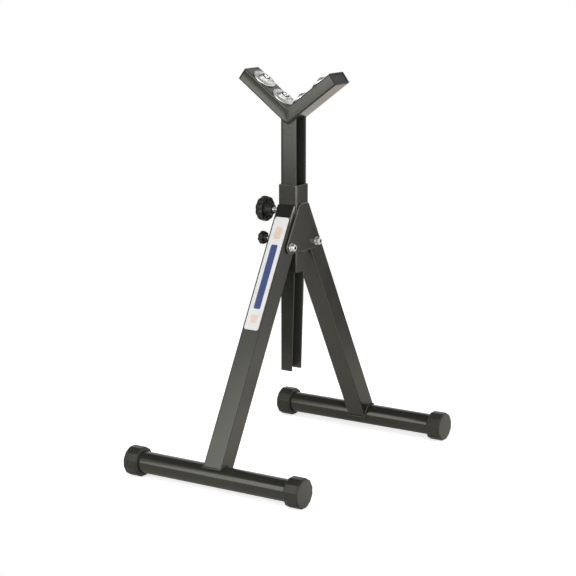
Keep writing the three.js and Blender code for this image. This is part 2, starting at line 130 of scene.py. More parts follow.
COLLAR_ROOT = 0.5
COLLAR_MOUTH = 3.1
BOLT_SUNK = 5.5
INSERT_DEPTH = 2.4
INSERT_PLAY = 0.1
INSERT_SUNK = 1
CLAMP_THREAD = {"radius": 5, "pitch": 1.5, "depth": 0.8}
LOCK_THREAD = {"radius": 3, "pitch": 1.0, "depth": 0.5}
CLAMP_KNOB = {"diameter": 50, "lobes": 10, "lobe_depth": 1.3, "hub_diameter": 24, "hub_length": 12}
LOCK_KNOB = {"diameter": 26, "lobes": 7, "lobe_depth": 1.8, "hub_diameter": 13, "hub_length": 5}
CLAMP_NUT, LOCK_NUT = 8.5, 5
CLAMP_PAD, LOCK_PAD = 4.4, 2.6
NUT_BEAD, NUT_BEAD_REACH = 1.0, 1.1
MAST_WALL = 3
MAST_BEND = 3.4
MAST_TAIL_DEPTH = 26
MAST_TAPER_LENGTH = 320
ARM_HALF_WIDTH = 24
ARM_DEPTH = 25
ARM_CORNER = 2.4
LEFT_ARM_HOLLOW = 0.75
RIGHT_ARM_HOLLOW = -0.4
ARM_CREASE = 0.25
INNER_ROUNDING = 6
OUTER_ROUNDING = 3
PLUG_FLANGE = 2.5
PLUG_EDGE = 0.7
PLUG_BORDER, PLUG_SINK = 3.4, 1.1
HEAD_BEAD = 1.7
HEAD_BEAD_PROUD = 0.2
BALL_RADIUS = 7.95
BALL_RISE = 4.3
FLANGE_RADIUS = 23.5
FLANGE_THICKNESS = 3
DOME_RADIUS = 14
DOME_HEIGHT = 8.2
DOME_TOP_RADIUS = 9.8
DOME_LIP = 0.3
SEAL_GAP = 1.3
SEAL_DEPTH = 1.6
SEAL_PROUD = 0.5
SEAL_CLEARANCE = 0.2
SEAL_LAND, SEAL_PLAY = 0.9, 0.05
CUP_RADIUS = 13
CUP_DEPTH = 6.2
SCREW_HEAD_RADIUS = 2.9
SCREW_HEAD_HEIGHT = 0.75
SCREW_SHANK_RADIUS = 2
SCREW_SHANK_LENGTH = 6.3
SCREW_FIRST_TURN, SCREW_NEXT_TURN = 0.5, 0.9
RECESS_HALF_WIDTH, RECESS_REACH, RECESS_DEPTH = 0.2, 0.62, 0.55  # shares of the screw head

ARM_FACE_OFFSET = BALL_RISE + SEAT_GAP
HEAD_CORNER = (BALL_INNER[Z] - BALL_INNER[X] * math.tan(ARM_RISE)
               - ARM_FACE_OFFSET / math.cos(ARM_RISE))
HEAD_TIP = HEAD_CORNER - ARM_DEPTH / math.cos(ARM_RISE)
ARM_END = PLUG_REACH / math.cos(ARM_RISE) - ARM_DEPTH * math.tan(ARM_RISE)
BALL_ALONG = {which: (centre[X] + ARM_FACE_OFFSET * math.sin(ARM_RISE)) / math.cos(ARM_RISE)
              for which, centre in (("inner", BALL_INNER), ("outer", BALL_OUTER))}


# Places: 4 x 4 matrices that carry a shape from its own frame into the stand's frame

def shift(x, y, z):
    """A move without a turn."""
    place = np.eye(4)
    place[:3, 3] = x, y, z
    return place


def turn(axis, angle):
    """A turn about the X, Y or Z axis, right-handed."""
    a, b = {"X": (1, 2), "Y": (2, 0), "Z": (0, 1)}[axis]
    place = np.eye(4)
    place[a, a] = place[b, b] = math.cos(angle)
    place[a, b] = -math.sin(angle)
    place[b, a] = math.sin(angle)
    return place


def axes(first, second, third):
    """A turn that sends the own X, Y and Z axes to the three given directions."""
    place = np.eye(4)
    place[:3, :3] = np.array([first, second, third], float).T
    return place


ALONG_PLUS_X = axes((0, 1, 0), (0, 0, 1), (1, 0, 0))
ALONG_MINUS_X = axes((0, 0, 1), (0, 1, 0), (-1, 0, 0))
AS_IT_IS, HALF_ROUND = np.eye(4), turn("Z", math.pi)
SIDE_TURN = {"rear": AS_IT_IS, "front": HALF_ROUND, "right": AS_IT_IS, "left": HALF_ROUND}
CAP_TURN = {"a": AS_IT_IS, "b": HALF_ROUND}


def foot_place(side):
    """The foot's own frame: its middle at the origin, its length along X."""
    return SIDE_TURN[side] @ shift(0, FOOT_Y, FOOT_HEIGHT)


def leg_place(side):
    """The leg's own frame: its pivot at the origin, +Z up the leg and +Y out of its outer face."""
    return SIDE_TURN[side] @ shift(0, PIVOT_Y, PIVOT_HEIGHT) @ turn("X", LEG_LEAN)


def arm_place(side):
    """The arm's own frame: the V's inner corner at the origin, +X up the arm, its top face at Z = 0."""
    return SIDE_TURN[side] @ shift(0, 0, HEAD_CORNER) @ turn("Y", -ARM_RISE)


def rightward(centre, x):
    """A frame at x on the line along X through a centre, its own Z along +X."""
    return centre @ shift(x, 0, 0) @ ALONG_PLUS_X


def leftward(centre, x):
    """A frame at x on the line along X through a centre, its own Z along -X."""
    return centre @ shift(x, 0, 0) @ ALONG_MINUS_X


def carried(surface, place):
    """A surface moved by a place matrix."""
    points, rows_closed = surface
    return points @ place[:3, :3].T + place[:3, 3], rows_closed


# Surfaces: arrays of rings, each ring a closed row of points, and whether the last ring meets the first

# Where lines cross a straight run, as shares of its length. Those near its ends keep its shading flat.
LENGTHWISE = np.array([0.006, 0.03, 0.5, 0.97, 0.994])
SIDEWISE = np.array([0.04, 0.14, 0.3, 0.5, 0.7, 0.86, 0.96])
RIPPLE_STEPS = 8


def rounded_rectangle(half_x, half_y, radius, corner_steps=6):
    """Anticlockwise loop of a rectangle whose corners are quarter circles."""
    angle = (np.arange(4)[:, None] + np.linspace(0, 1, corner_steps)) * math.pi / 2
    centre = np.array([(1, 1), (-1, 1), (-1, -1), (1, -1)]) * (half_x - radius, half_y - radius)
    arcs = centre[:, None] + radius * np.stack([np.cos(angle), np.sin(angle)], -1)
    ends = arcs[:, -1:]
    sides = ends + SIDEWISE[None, :, None] * (np.roll(arcs[:, :1], -1, axis=0) - ends)
    return np.concatenate([arcs, sides], axis=1).reshape(-1, 2)


def circle(radius, count=96):
    """Anticlockwise loop of a circle."""
    angle = np.linspace(0, FULL_TURN, count, endpoint=False)
    return radius * np.stack([np.cos(angle), np.sin(angle)], -1)


def trimmed_tube(outer, inner, low, high, lip=0.5, straight=LENGTHWISE, lip_steps=7):
    """A wall between two matched loops, carried along Z from low(x, y) to high(x, y). The section of
    the wall is a closed path: up the outer loop, over a half-round rim, down the inner loop and
    under a half-round rim."""
    swing = np.linspace(0, math.pi, lip_steps)
    flat = np.zeros_like(straight)
    share = np.concatenate([flat, (1 - np.cos(swing)) / 2, flat + 1, (1 + np.cos(swing)) / 2])
    level = np.concatenate([straight, np.ones(lip_steps), straight[::-1], np.zeros(lip_steps)])
    bulge = np.concatenate([flat, lip * (np.sin(swing) - 1), flat, lip * (1 - np.sin(swing))])
    loops = outer + share[:, None, None] * (inner - outer)
    z = low(loops) * (1 - level[:, None]) + high(loops) * level[:, None] + bulge[:, None]
    return np.concatenate([loops, z[..., None]], axis=-1), True


def level_at(height):
    """An end that is cut square."""
    return lambda loops: np.full(loops.shape[:-1], float(height))


def plate(outline, low, high, edge, recess=None, steps=5):
    """A plate between low(x, y) and high(x, y). Its rings go from the middle of the lower face out to
    the outline, round the two quarter-round edges and back to the middle of the upper face, which may
    be sunk inside a border: recess is (border width, depth)."""
    swing = np.linspace(0, math.pi / 2, steps)
    margin = 2.5 * edge
    insets = [margin, *(edge * (1 - np.sin(swing))), *(edge * (1 - np.cos(swing))), margin]
    rises = [0, *(edge * (1 - np.cos(swing))), *(edge * (np.sin(swing) - 1)), 0]
    upper = [False] * (steps + 1) + [True] * (steps + 1)
    if recess:
        insets += [recess[0], recess[0] + recess[1]]
        rises += [0, -recess[1]]
        upper += [True, True]
    loops = np.stack([outline(inset) for inset in insets])
    z = np.where(np.array(upper)[:, None], high(loops), low(loops)) + np.array(rises)[:, None]
    rings = np.concatenate([loops, z[..., None]], axis=-1)
    bottom = np.broadcast_to(rings[:1].mean(axis=1, keepdims=True), rings[:1].shape)
    top = np.broadcast_to(rings[-1:].mean(axis=1, keepdims=True), rings[-1:].shape)
    return np.concatenate([bottom, rings, top]), False


def softened(corners, steps=5):
    """An open profile through corners of (radius, height, trim), each one replaced by a quadratic
    curve that leaves the straight lines one trim away from it."""
    table = np.array(corners, float)
    corners, trim = table[:, :2], table[:, 2:]

    def trimmed(step):
        """Points one trim away from the corners, toward their neighbours."""
        toward = np.roll(corners, step, axis=0) - corners
        length = np.linalg.norm(toward, axis=1, keepdims=True)
        return (corners + trim * toward / np.maximum(length, MERGE_DISTANCE))[:, None]

    t = np.linspace(0, 1, steps)[None, :, None]
    curve = (1 - t) ** 2 * trimmed(1) + 2 * t * (1 - t) * corners[:, None] + t ** 2 * trimmed(-1)
    return curve.reshape(-1, 2)


def around(radius, angle, height):
    """Points at a radius, an angle and a height about Z."""
    return np.stack([radius * np.cos(angle), radius * np.sin(angle), height], -1)


def turned(profile, count=72, shape=None):
    """A profile of (radius, height) turned about Z. shape(radius, height, angle) may bend the rings."""
    angle = np.linspace(0, FULL_TURN, count, endpoint=False)
    radius, height = (np.repeat(column[:, None], count, axis=1) for column in profile.T)
    if shape:
        radius, height = shape(radius, height, angle)
    return around(radius, angle, height), False


def ring_body(corners, count=72):
    """A turned ring with a closed section through corners of (radius, height, trim)."""
    return turned(softened([*corners, corners[0]]), count)


def many_sided(sides, sharpness):
    """Turns a ring of radius r into a polygon of apothem r: r over the p-norm of the cosines to the
    sides' normals. A larger p gives sharper corners."""
    normals = FULL_TURN * np.arange(sides) / sides

    def reach(angle):
        """How much further out a ring goes at an angle."""
        facing = np.maximum(np.cos(angle[:, None] - normals), 0)
        return (facing ** sharpness).sum(axis=1) ** (-1 / sharpness)
    return reach


def hexagon_nut(apothem, height, bore, chamfer_circle=0.95, chamfer_slope=math.radians(30)):
    """A hexagon along Z with conical chamfers: the flats' edges drop with the distance from the
    chamfer's circle. With no bore the two ends close at the axis."""
    angle = np.linspace(0, FULL_TURN, 96, endpoint=False)
    corner = apothem * many_sided(6, 90)(angle)
    ring = chamfer_circle * apothem + 0 * angle
    drop = (corner - ring) * math.tan(chamfer_slope)
    hole = bore + 0 * angle
    radius = np.stack([hole, ring, corner, corner, ring, hole])
    base = 0 * angle
    z = np.stack([base, base, drop, height - drop, height + base, height + base])
    return around(radius, angle, z), bore > 0


def threaded_rod(length, radius, pitch, depth, chamfer=0.8, count=32, steps_per_turn=8):
    """A rod along Z whose radius follows a triangle wave of height less a turn's share of the angle,
    held under a cone at each end and closed at the axis."""
    angle = np.linspace(0, FULL_TURN, count, endpoint=False)
    rows = int(length / pitch * steps_per_turn)
    z = np.linspace(0, length, rows)[:, None] + 0 * angle
    phase = (z / pitch - angle / FULL_TURN) % 1
    thread = radius - depth * np.abs(2 * phase - 1)
    cone = radius - chamfer + np.minimum(z, length - z)
    wall = np.minimum(thread, cone)
    wall = np.concatenate([0 * wall[:1], wall, 0 * wall[:1]])
    z = np.concatenate([z[:1], z, z[-1:]])
    return around(wall, angle, z), False


def evenly(path, spacing, closed=False):
    """A path of points resampled at an even spacing along its length."""
    line = np.concatenate([path, path[:1]]) if closed else path
    along = np.concatenate([[0], np.cumsum(np.linalg.norm(np.diff(line, axis=0), axis=1))])
    count = max(int(along[-1] / spacing), 4)
    wanted = np.linspace(0, along[-1], count, endpoint=not closed)
    return np.stack([np.interp(wanted, along, line[:, axis]) for axis in (X, Y, Z)], -1)


def unit(vectors):
    """Rows of vectors brought to length 1."""
    return vectors / np.linalg.norm(vectors, axis=1, keepdims=True)


def weld_bead(path, radius, up, closed=False, pitch=2.4, ripple=0.13, lean=0.35, count=14):
    """A round bead along a path. Its radius swells and shrinks once each pitch, its rings lean back,
    and an open bead tapers to a point at both ends. up is a direction that the path never follows."""
    spacing = pitch / RIPPLE_STEPS
    line = evenly(np.asarray(path, float), spacing, closed)
    share = np.linspace(0, 1, len(line))
    along = share * len(line) * spacing
    ahead, behind = np.roll(line, -1, axis=0), np.roll(line, 1, axis=0)
    tangent = ahead - behind if closed else np.gradient(line, axis=0)
    side = unit(np.cross(tangent, np.asarray(up, float)))
    lift = unit(np.cross(side, tangent))
    swell = radius * (1 + ripple * np.sin(FULL_TURN * along / pitch))
    if not closed:
        swell = swell * np.sqrt(np.maximum(1 - (2 * share - 1) ** 10, 0))
    swell = swell[:, None, None]
    angle = np.linspace(0, FULL_TURN, count, endpoint=False)[None, :, None]
    back = lean * swell * np.sin(angle) * unit(tangent)[:, None]
    ring = swell * (np.cos(angle) * side[:, None] + np.sin(angle) * lift[:, None])
    return line[:, None] + ring - back, closed


# Putting a piece together

def ring_quads(rows, columns, rows_closed):
    """Quads between neighbouring rings of a grid."""
    i = np.arange(rows if rows_closed else rows - 1)[:, None]
    j = np.arange(columns)[None, :]
    here, above = i * columns, (i + 1) % rows * columns
    onward = (j + 1) % columns
    return np.stack([here + j, here + onward, above + onward, above + j], -1).reshape(-1, 4)


def merged(surface):
    """Corners and quads of a surface with its coincident points made one, facing out: a surface whose
    signed volume is negative is turned round."""
    points, rows_closed = surface
    quads = ring_quads(*points.shape[:2], rows_closed)
    flat = points.reshape(-1, 3)
    keys = np.round(flat / MERGE_DISTANCE).astype(np.int64)
    _, first, where = np.unique(keys, axis=0, return_index=True, return_inverse=True)
    corners, quads = flat[first], where.reshape(-1)[quads]
    a, b, c, d = (corners[quads[:, k]] for k in range(4))
    volume = (a * np.cross(b, c)).sum() + (a * np.cross(c, d)).sum()
    return corners, quads if volume > 0 else quads[:, ::-1]


def put_piece(name, surfaces, place, body, material, slot, *stands_for):
    """Carries surfaces to their place and joins them into one mesh in metres. Quads that the poles
    have folded become triangles. stands_for names the nodes that the piece replaces."""
    corners, quads, start = [], [], 0
    for surface in surfaces:
        own_corners, own_quads = merged(carried(surface, place))
        corners.append(own_corners)
        quads.append(own_quads + start)
        start += len(own_corners)
    corners, quads = np.concatenate(corners), np.concatenate(quads)
    kept = quads != np.roll(quads, -1, axis=1)
    sides = kept.sum(axis=1)
    triangles = quads[sides == 3][kept[sides == 3]].reshape(-1, 3)
    mesh = bpy.data.meshes.new(name)
    mesh.from_pydata((corners * MM).tolist(), [], quads[sides == 4].tolist() + triangles.tolist())
    mesh.polygons.foreach_set("use_smooth", np.ones(len(mesh.polygons), bool))
    mesh.set_sharp_from_angle(angle=SHARP_ANGLE)
    mesh.materials.append(material)
    made = bpy.data.objects.new(name, mesh)
    bpy.context.scene.collection.objects.link(made)
    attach(made, body)
    if stands_for:
        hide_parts(*stands_for)


# Shader nodes

ORIGIN = (0, 0, 0)


def new_tree(owner):
    """The emptied node tree of a material or world."""
    owner.use_nodes = True
    owner.node_tree.nodes.clear()
    return owner.node_tree


def add_node(tree, kind, inputs=None, **settings):
    """The outputs of a new node. Its settings come first, then its inputs are linked or set."""
    made = tree.nodes.new(kind)
    for setting, value in settings.items():
        setattr(made, setting, value)
    for socket, value in (inputs or {}).items():
        target = made.inputs[socket]
        if isinstance(value, bpy.types.NodeSocket):
            tree.links.new(value, target)
        elif target.type == "RGBA":
            target.default_value = (*value, 1)
        else:
            target.default_value = value
    return made.outputs


def mapped(tree, value, low, high, to_low=0.0, to_high=1.0):
    """A value carried smoothly from one range to another, and held at its ends."""
    ends = {"From Min": low, "From Max": high, "To Min": to_low, "To Max": to_high}
    made = add_node(tree, "ShaderNodeMapRange", {"Value": value, **ends}, interpolation_type="SMOOTHSTEP")
    return made["Result"]


def number(tree, operation, *values, **settings):
    """One step of arithmetic on numbers."""
    made = add_node(tree, "ShaderNodeMath", dict(enumerate(values)), operation=operation, **settings)
    return made[0]


def vector(tree, operation, *values):
    """One step of arithmetic on vectors. A length or a distance comes out as a number."""
    made = add_node(tree, "ShaderNodeVectorMath", dict(enumerate(values)), operation=operation)
    return made["Value" if operation in ("LENGTH", "DISTANCE") else "Vector"]


def product(tree, first, *others):
    """Numbers multiplied one after another."""
    for other in others:
        first = number(tree, "MULTIPLY", first, other)
    return first


def parts(tree, place):
    """The X, Y and Z of a vector."""
    return add_node(tree, "ShaderNodeSeparateXYZ", {"Vector": place})


def looking(tree, axis):
    """How far a face looks along an axis: that part of its normal."""
    return parts(tree, add_node(tree, "ShaderNodeNewGeometry")["Normal"])[axis]


def noise(tree, place, scale, detail):
    """A cloudy pattern about a half."""
    inputs = {"Vector": place, "Scale": scale, "Detail": detail}
    return add_node(tree, "ShaderNodeTexNoise", inputs)["Fac"]


def blended(tree, factor, first, second):
    """Two colours mixed by a mask; each is a socket or a linear colour."""
    return add_node(tree, "ShaderNodeMix", {0: factor, 6: first, 7: second}, data_type="RGBA")[2]


def new_group(name, inputs, *outputs):
    """A shader node group. Each input has its usual value, a number or a vector. Outputs are numbers."""
    group = bpy.data.node_groups.new(name, "ShaderNodeTree")
    for socket, value in inputs.items():
        kind = "NodeSocketVector" if isinstance(value, tuple) else "NodeSocketFloat"
        group.interface.new_socket(socket, in_out="INPUT", socket_type=kind).default_value = value
    for socket in outputs:
        group.interface.new_socket(socket, in_out="OUTPUT", socket_type="NodeSocketFloat")
    source, sink = group.nodes.new("NodeGroupInput"), group.nodes.new("NodeGroupOutput")
    return group, source.outputs, sink.inputs


def place_group(tree, group, place, inputs):
    """The outputs of a group whose pattern lies on the piece."""
    return add_node(tree, "ShaderNodeGroup", {"Vector": place, **inputs}, node_tree=group)


# Effects that finishes share

def surface_grain_group():
    """Peel: low soft bumps the size of Peel Scale. Cloud: broad patches."""
    group, source, sink = new_group(
        "surface_grain", {"Vector": ORIGIN, "Peel Scale": 600.0, "Cloud Scale": 12.0}, "Peel", "Cloud")
    for output, detail in (("Peel", 2.0), ("Cloud", 5.0)):
        pattern = noise(group, source["Vector"], source[f"{output} Scale"], detail)
        group.links.new(mapped(group, pattern, 0.3, 0.7), sink[output])
    return group


def settled_dust_group():
    """Dust: a thin film on faces that look up, broken into patches."""
    group, source, sink = new_group("settled_dust", {"Vector": ORIGIN, "Amount": 0.3}, "Dust")
    patches = noise(group, source["Vector"], 45.0, 6.0)
    upward = mapped(group, looking(group, "Z"), 0.25, 1.0)
    film = product(group, upward, mapped(group, patches, 0.3, 0.75), source["Amount"])
    group.links.new(film, sink["Dust"])
    return group


def handling_scuffs_group():
    """Scuff: fine long marks, from noise squeezed along one axis and cut to its peaks."""
    group, source, sink = new_group(
        "handling_scuffs", {"Vector": ORIGIN, "Amount": 0.4, "Scale": 70.0}, "Scuff")
    squeezed = add_node(group, "ShaderNodeMapping", {
        "Vector": source["Vector"], "Rotation": (0.5, 0.8, 0.3), "Scale": (1.0, 14.0, 3.0)})
    marks = noise(group, squeezed["Vector"], source["Scale"], 3.0)
    where = noise(group, source["Vector"], 18.0, 2.0)
    lines = product(group, mapped(group, marks, 0.62, 0.74), mapped(group, where, 0.45, 0.7),
                    source["Amount"])
    group.links.new(lines, sink["Scuff"])
    return group


def painted_edge_highlight_group():
    """Highlight: a painted highlight, paler paint on convex edges, which the surface's pointiness gives.
    It is broken by soft patches and fades with the distance from a spot, from Near to Far."""
    group, source, sink = new_group(
        "painted_edge_highlights",
        {"Vector": ORIGIN, "Spot": ORIGIN, "Near": 0.01, "Far": 0.03, "Amount": 0.5}, "Highlight")
    convex = add_node(group, "ShaderNodeNewGeometry")["Pointiness"]
    away = vector(group, "DISTANCE", source["Vector"], source["Spot"])
    patches = noise(group, source["Vector"], 60.0, 3.0)
    rub = product(group, mapped(group, convex, 0.505, 0.525),
                  mapped(group, away, source["Far"], source["Near"]),
                  mapped(group, patches, 0.25, 0.5), source["Amount"])
    group.links.new(rub, sink["Highlight"])
    return group


SURFACE_GRAIN = surface_grain_group()
SETTLED_DUST = settled_dust_group()
HANDLING_SCUFFS = handling_scuffs_group()
PAINTED_EDGE_HIGHLIGHTS = painted_edge_highlight_group()


# Finishes

WARM_DUST = (0.16, 0.15, 0.13)
# Paler paint that the painted edge highlights blend to
EDGE_HIGHLIGHT_PAINT = (0.27, 0.255, 0.225)
WARM_GLOSS = (1.0, 1.0, 0.9)
SCUFF_GAIN = 2.2
LABEL_WHITE = (0.51, 0.51, 0.50), (0.56, 0.56, 0.555)
BAR_BLUE = (0.012, 0.028, 0.11), (0.016, 0.036, 0.135)
BAR_SAND = (0.50, 0.40, 0.31), (0.56, 0.45, 0.36)
LABEL_BARS = (-72, 58, BAR_BLUE), (70, 94, BAR_SAND), (-100, -84, BAR_SAND)
BAR_HALF_WIDTH, BAR_CORNER, BAR_SOFT = 7.5, 3.0, 0.15


def new_finish(name):
    """An empty material, its tree and the piece's Object coordinates."""
    material = bpy.data.materials.new(name)
    tree = new_tree(material)
    return material, tree, add_node(tree, "ShaderNodeTexCoord")["Object"]


def shaded(tree, colour, shade, roughness, scuffed, relief, depth, **constants):
    """Ends a finish with a Principled shader. Its roughness goes from one end of a range to the other
    with the shade, and scuffs add to it. Colour and bump vary too, and the rest is constant."""
    rough = number(tree, "ADD", mapped(tree, shade, 0.0, 1.0, *roughness), scuffed, use_clamp=True)
    normal = add_node(tree, "ShaderNodeBump", {"Height": relief, "Distance": depth, "Strength": 1.0})
    inputs = {socket.replace("_", " "): value for socket, value in constants.items()}
    inputs.update({"Base Color": colour, "Roughness": rough, "Normal": normal["Normal"]})
    shader = add_node(tree, "ShaderNodeBsdfPrincipled", inputs)
    add_node(tree, "ShaderNodeOutputMaterial", {"Surface": shader["BSDF"]})


def inside_channel(tree, place):
    """A mask of the mast's inner faces: points nearer the mast's middle than the wall's own middle is."""
    part = parts(tree, place)
    edge, soft = MAST_HALF - MAST_WALL / 2, 0.2
    between = mapped(tree, number(tree, "ABSOLUTE", part["Y"]), (edge + soft) * MM, (edge - soft) * MM)
    return product(tree, between, mapped(tree, part["X"], (-edge - soft) * MM, (soft - edge) * MM))


def end_faces(tree):
    """A mask of the faces that look along the feet: the size of the normal's X."""
    return mapped(tree, number(tree, "ABSOLUTE", looking(tree, "X")), 0.75, 0.95)


def coated_finish(name, dark, light, roughness, peel_scale, peel_depth, dust, scuff,
                  thin_inside=None, pale_end_faces=None, rub=None, **constants):
    """Paint or moulded plastic: two close shades in broad clouds, a peel or grain in relief, pale dust
    on upward faces, and scuffs that are paler and rougher. The mast's inner faces may be paler, painted
    light inside the channel, and the faces that look along the feet may be paler. Convex edges may get a
    painted highlight: the spot where it lies, in millimetres, how far that reaches and how strong it is."""
    material, tree, place = new_finish(name)
    grain = place_group(tree, SURFACE_GRAIN, place, {"Peel Scale": peel_scale})
    dusty = place_group(tree, SETTLED_DUST, place, {"Amount": dust})["Dust"]
    scuffed = place_group(tree, HANDLING_SCUFFS, place, {"Amount": scuff})["Scuff"]
    colour = blended(tree, grain["Cloud"], dark, light)
    # Painted light: the mast's inner faces are paler, standing in for light that reaches inside the
    # channel
    if thin_inside:
        colour = blended(tree, inside_channel(tree, place), colour, thin_inside)
    # Faces that look along the feet are paler
    if pale_end_faces:
        colour = blended(tree, end_faces(tree), colour, pale_end_faces)
    # Painted highlight: convex edges near a spot are paler, standing in for light that their rounding
    # catches
    if rub:
        spot, near, far, amount = rub
        highlight = place_group(tree, PAINTED_EDGE_HIGHLIGHTS, place, {
            "Spot": tuple(np.array(spot) * MM), "Near": near * MM, "Far": far * MM, "Amount": amount})
        colour = blended(tree, highlight["Highlight"], colour, EDGE_HIGHLIGHT_PAINT)
    colour = blended(tree, scuffed, colour, tuple(SCUFF_GAIN * c for c in light))
    colour = blended(tree, dusty, colour, WARM_DUST)
    shaded(tree, colour, grain["Cloud"], roughness, scuffed, grain["Peel"], peel_depth, **constants)
    return material


def black_gloss(name, roughness=(0.18, 0.23), **more):
    """The black paint of the stand, with a warm tint in its gloss."""
    return coated_finish(name, (0.0155, 0.0155, 0.0125), (0.0185, 0.0185, 0.0150), roughness, 500.0,
                         0.000008, dust=0.03, scuff=0.03, Specular_Tint=WARM_GLOSS, **more)


def metal_finish(name, dark, light, roughness, crystal_scale, scuff, relief):
    """Plated or bare metal: crystals of slightly different shade and gloss, with fine scuffs."""
    material, tree, place = new_finish(name)
    grain = place_group(tree, SURFACE_GRAIN, place, {"Cloud Scale": 60.0})
    scuffed = place_group(tree, HANDLING_SCUFFS, place, {"Amount": scuff, "Scale": 240.0})["Scuff"]
    crystals = add_node(tree, "ShaderNodeTexVoronoi", {"Vector": place, "Scale": crystal_scale})["Color"]
    facet = add_node(tree, "ShaderNodeSeparateColor", {"Color": crystals})[0]
    shade = product(tree, facet, grain["Cloud"])
    colour = blended(tree, shade, dark, light)
    shaded(tree, colour, shade, roughness, scuffed, grain["Peel"], relief, Metallic=1.0)
    return material


def label_finish(name):
    """Off-white film with one long dark-blue bar and two short sand-coloured bars along its middle. Each
    comes from the distance to a rounded rectangle: the length of what lies beyond its straight-sided
    core, less the corner radius."""
    material, tree, place = new_finish(name)
    middle = leg_place("front") @ np.array([0, LEG_HALF, LABEL_TOP - LABEL_LENGTH / 2, 1])
    own = add_node(tree, "ShaderNodeMapping", {
        "Vector": place, "Location": tuple(middle[:3] * MM), "Rotation": (LEG_LEAN, 0, math.pi)},
        vector_type="TEXTURE")["Vector"]

    def printed_bar(low, high):
        """A mask of one bar between two heights on the label."""
        core = ((BAR_HALF_WIDTH - BAR_CORNER) * MM, 0, ((high - low) / 2 - BAR_CORNER) * MM)
        from_middle = vector(tree, "SUBTRACT", own, (0, 0, (low + high) / 2 * MM))
        flat = vector(tree, "MULTIPLY", from_middle, (1, 0, 1))
        over = vector(tree, "SUBTRACT", vector(tree, "ABSOLUTE", flat), core)
        reach = vector(tree, "LENGTH", vector(tree, "MAXIMUM", over, ORIGIN))
        return mapped(tree, reach, (BAR_CORNER + BAR_SOFT) * MM, (BAR_CORNER - BAR_SOFT) * MM)

    grain = place_group(tree, SURFACE_GRAIN, place, {"Cloud Scale": 30.0, "Peel Scale": 250.0})
    colour = blended(tree, grain["Cloud"], *LABEL_WHITE)
    for low, high, ink in LABEL_BARS:
        colour = blended(tree, printed_bar(low, high), colour, blended(tree, grain["Cloud"], *ink))
    shaded(tree, colour, grain["Cloud"], (0.34, 0.46), 0.0, grain["Peel"], 0.00002, Coat_Weight=0.3,
           Coat_Roughness=0.2, Specular_IOR_Level=0.4)
    return material


# Painted edge highlights: the spot, where the highlight starts to fade and where it ends, and how strong
# it is
HUB_EDGE_HIGHLIGHT = (SLEEVE_HALF, -SLEEVE_HALF, SLEEVE_TOP - 40), 70, 130, 0.28
LEG_HIGHLIGHT_SPOT = (leg_place("front") @ np.array([-LEG_HALF, LEG_HALF, WINDOW_START + 17, 1]))[:3]
LEG_EDGE_HIGHLIGHT = LEG_HIGHLIGHT_SPOT, 14, 34, 1.0
PAINT = black_gloss("black_gloss_paint")
FOOT_PAINT = black_gloss("black_foot_paint", (0.12, 0.16), Specular_IOR_Level=0.38)
HUB_PAINT = black_gloss("black_hub_paint", rub=HUB_EDGE_HIGHLIGHT)
FRONT_LEG_PAINT = black_gloss("black_front_leg_paint", rub=LEG_EDGE_HIGHLIGHT)
# The mast's paint is paler inside its channel: painted light
MAST_PAINT = black_gloss("black_mast_paint", thin_inside=(0.036, 0.036, 0.031))
# The caps' plastic is paler on the faces that look along the feet
CAP_PLASTIC = coated_finish(
    "grey_cap_plastic", (0.014, 0.014, 0.012), (0.020, 0.0197, 0.0165), (0.32, 0.40), 1500.0, 0.00002,
    dust=0.03, scuff=0.06, pale_end_faces=(0.050, 0.048, 0.042), Specular_IOR_Level=0.28,
    Specular_Tint=WARM_GLOSS)
KNOB_PLASTIC = coated_finish(
    "black_knob_plastic", (0.007, 0.007, 0.006), (0.011, 0.011, 0.0095), (0.36, 0.46), 1200.0, 0.00002,
    dust=0.03, scuff=0.04, Specular_IOR_Level=0.25)
CLOSURE_PLASTIC = coated_finish(
    "dull_closure_plastic", (0.007, 0.007, 0.0065), (0.011, 0.011, 0.010), (0.6, 0.72), 1400.0, 0.00002,
    dust=0.02, scuff=0.03, Specular_IOR_Level=0.08)
PLUG_PLASTIC = coated_finish(
    "dark_plug_plastic", (0.010, 0.010, 0.0085), (0.014, 0.014, 0.012), (0.4, 0.5), 1400.0, 0.00002,
    dust=0.04, scuff=0.06, Specular_IOR_Level=0.38)
# Dark felt; in the ball units' gap it also serves as painted shade
SEAL_FELT = coated_finish(
    "dark_seal_felt", (0.006, 0.006, 0.005), (0.011, 0.011, 0.009), (0.8, 0.95), 1800.0, 0.00006,
    dust=0.02, scuff=0.02, Specular_IOR_Level=0.1)
ZINC = metal_finish("bright_zinc_plate", (0.70, 0.70, 0.675), (0.78, 0.78, 0.76), (0.34, 0.42), 420.0,
                    scuff=0.06, relief=0.000004)
BALL_STEEL = metal_finish("polished_ball_steel", (0.84, 0.84, 0.83), (0.92, 0.92, 0.91), (0.04, 0.08),
                          900.0, scuff=0.04, relief=0.000002)
BRASS = metal_finish("pad_brass", (0.50, 0.34, 0.12), (0.62, 0.45, 0.18), (0.28, 0.42), 500.0,
                     scuff=0.3, relief=0.00002)
LABEL_PRINT = label_finish("label_film")


# Feet

def foot_tube(side):
    """A round tube along X."""
    wall = trimmed_tube(circle(FOOT_TUBE_RADIUS), circle(FOOT_TUBE_RADIUS - TUBE_WALL),
                        level_at(-FOOT_TUBE_END), level_at(FOOT_TUBE_END))
    put_piece(f"{side}_foot_pipe", [wall], foot_place(side) @ ALONG_PLUS_X, f"{side}_leg_and_foot",
              FOOT_PAINT, "paint", f"{side}_foot_tube")


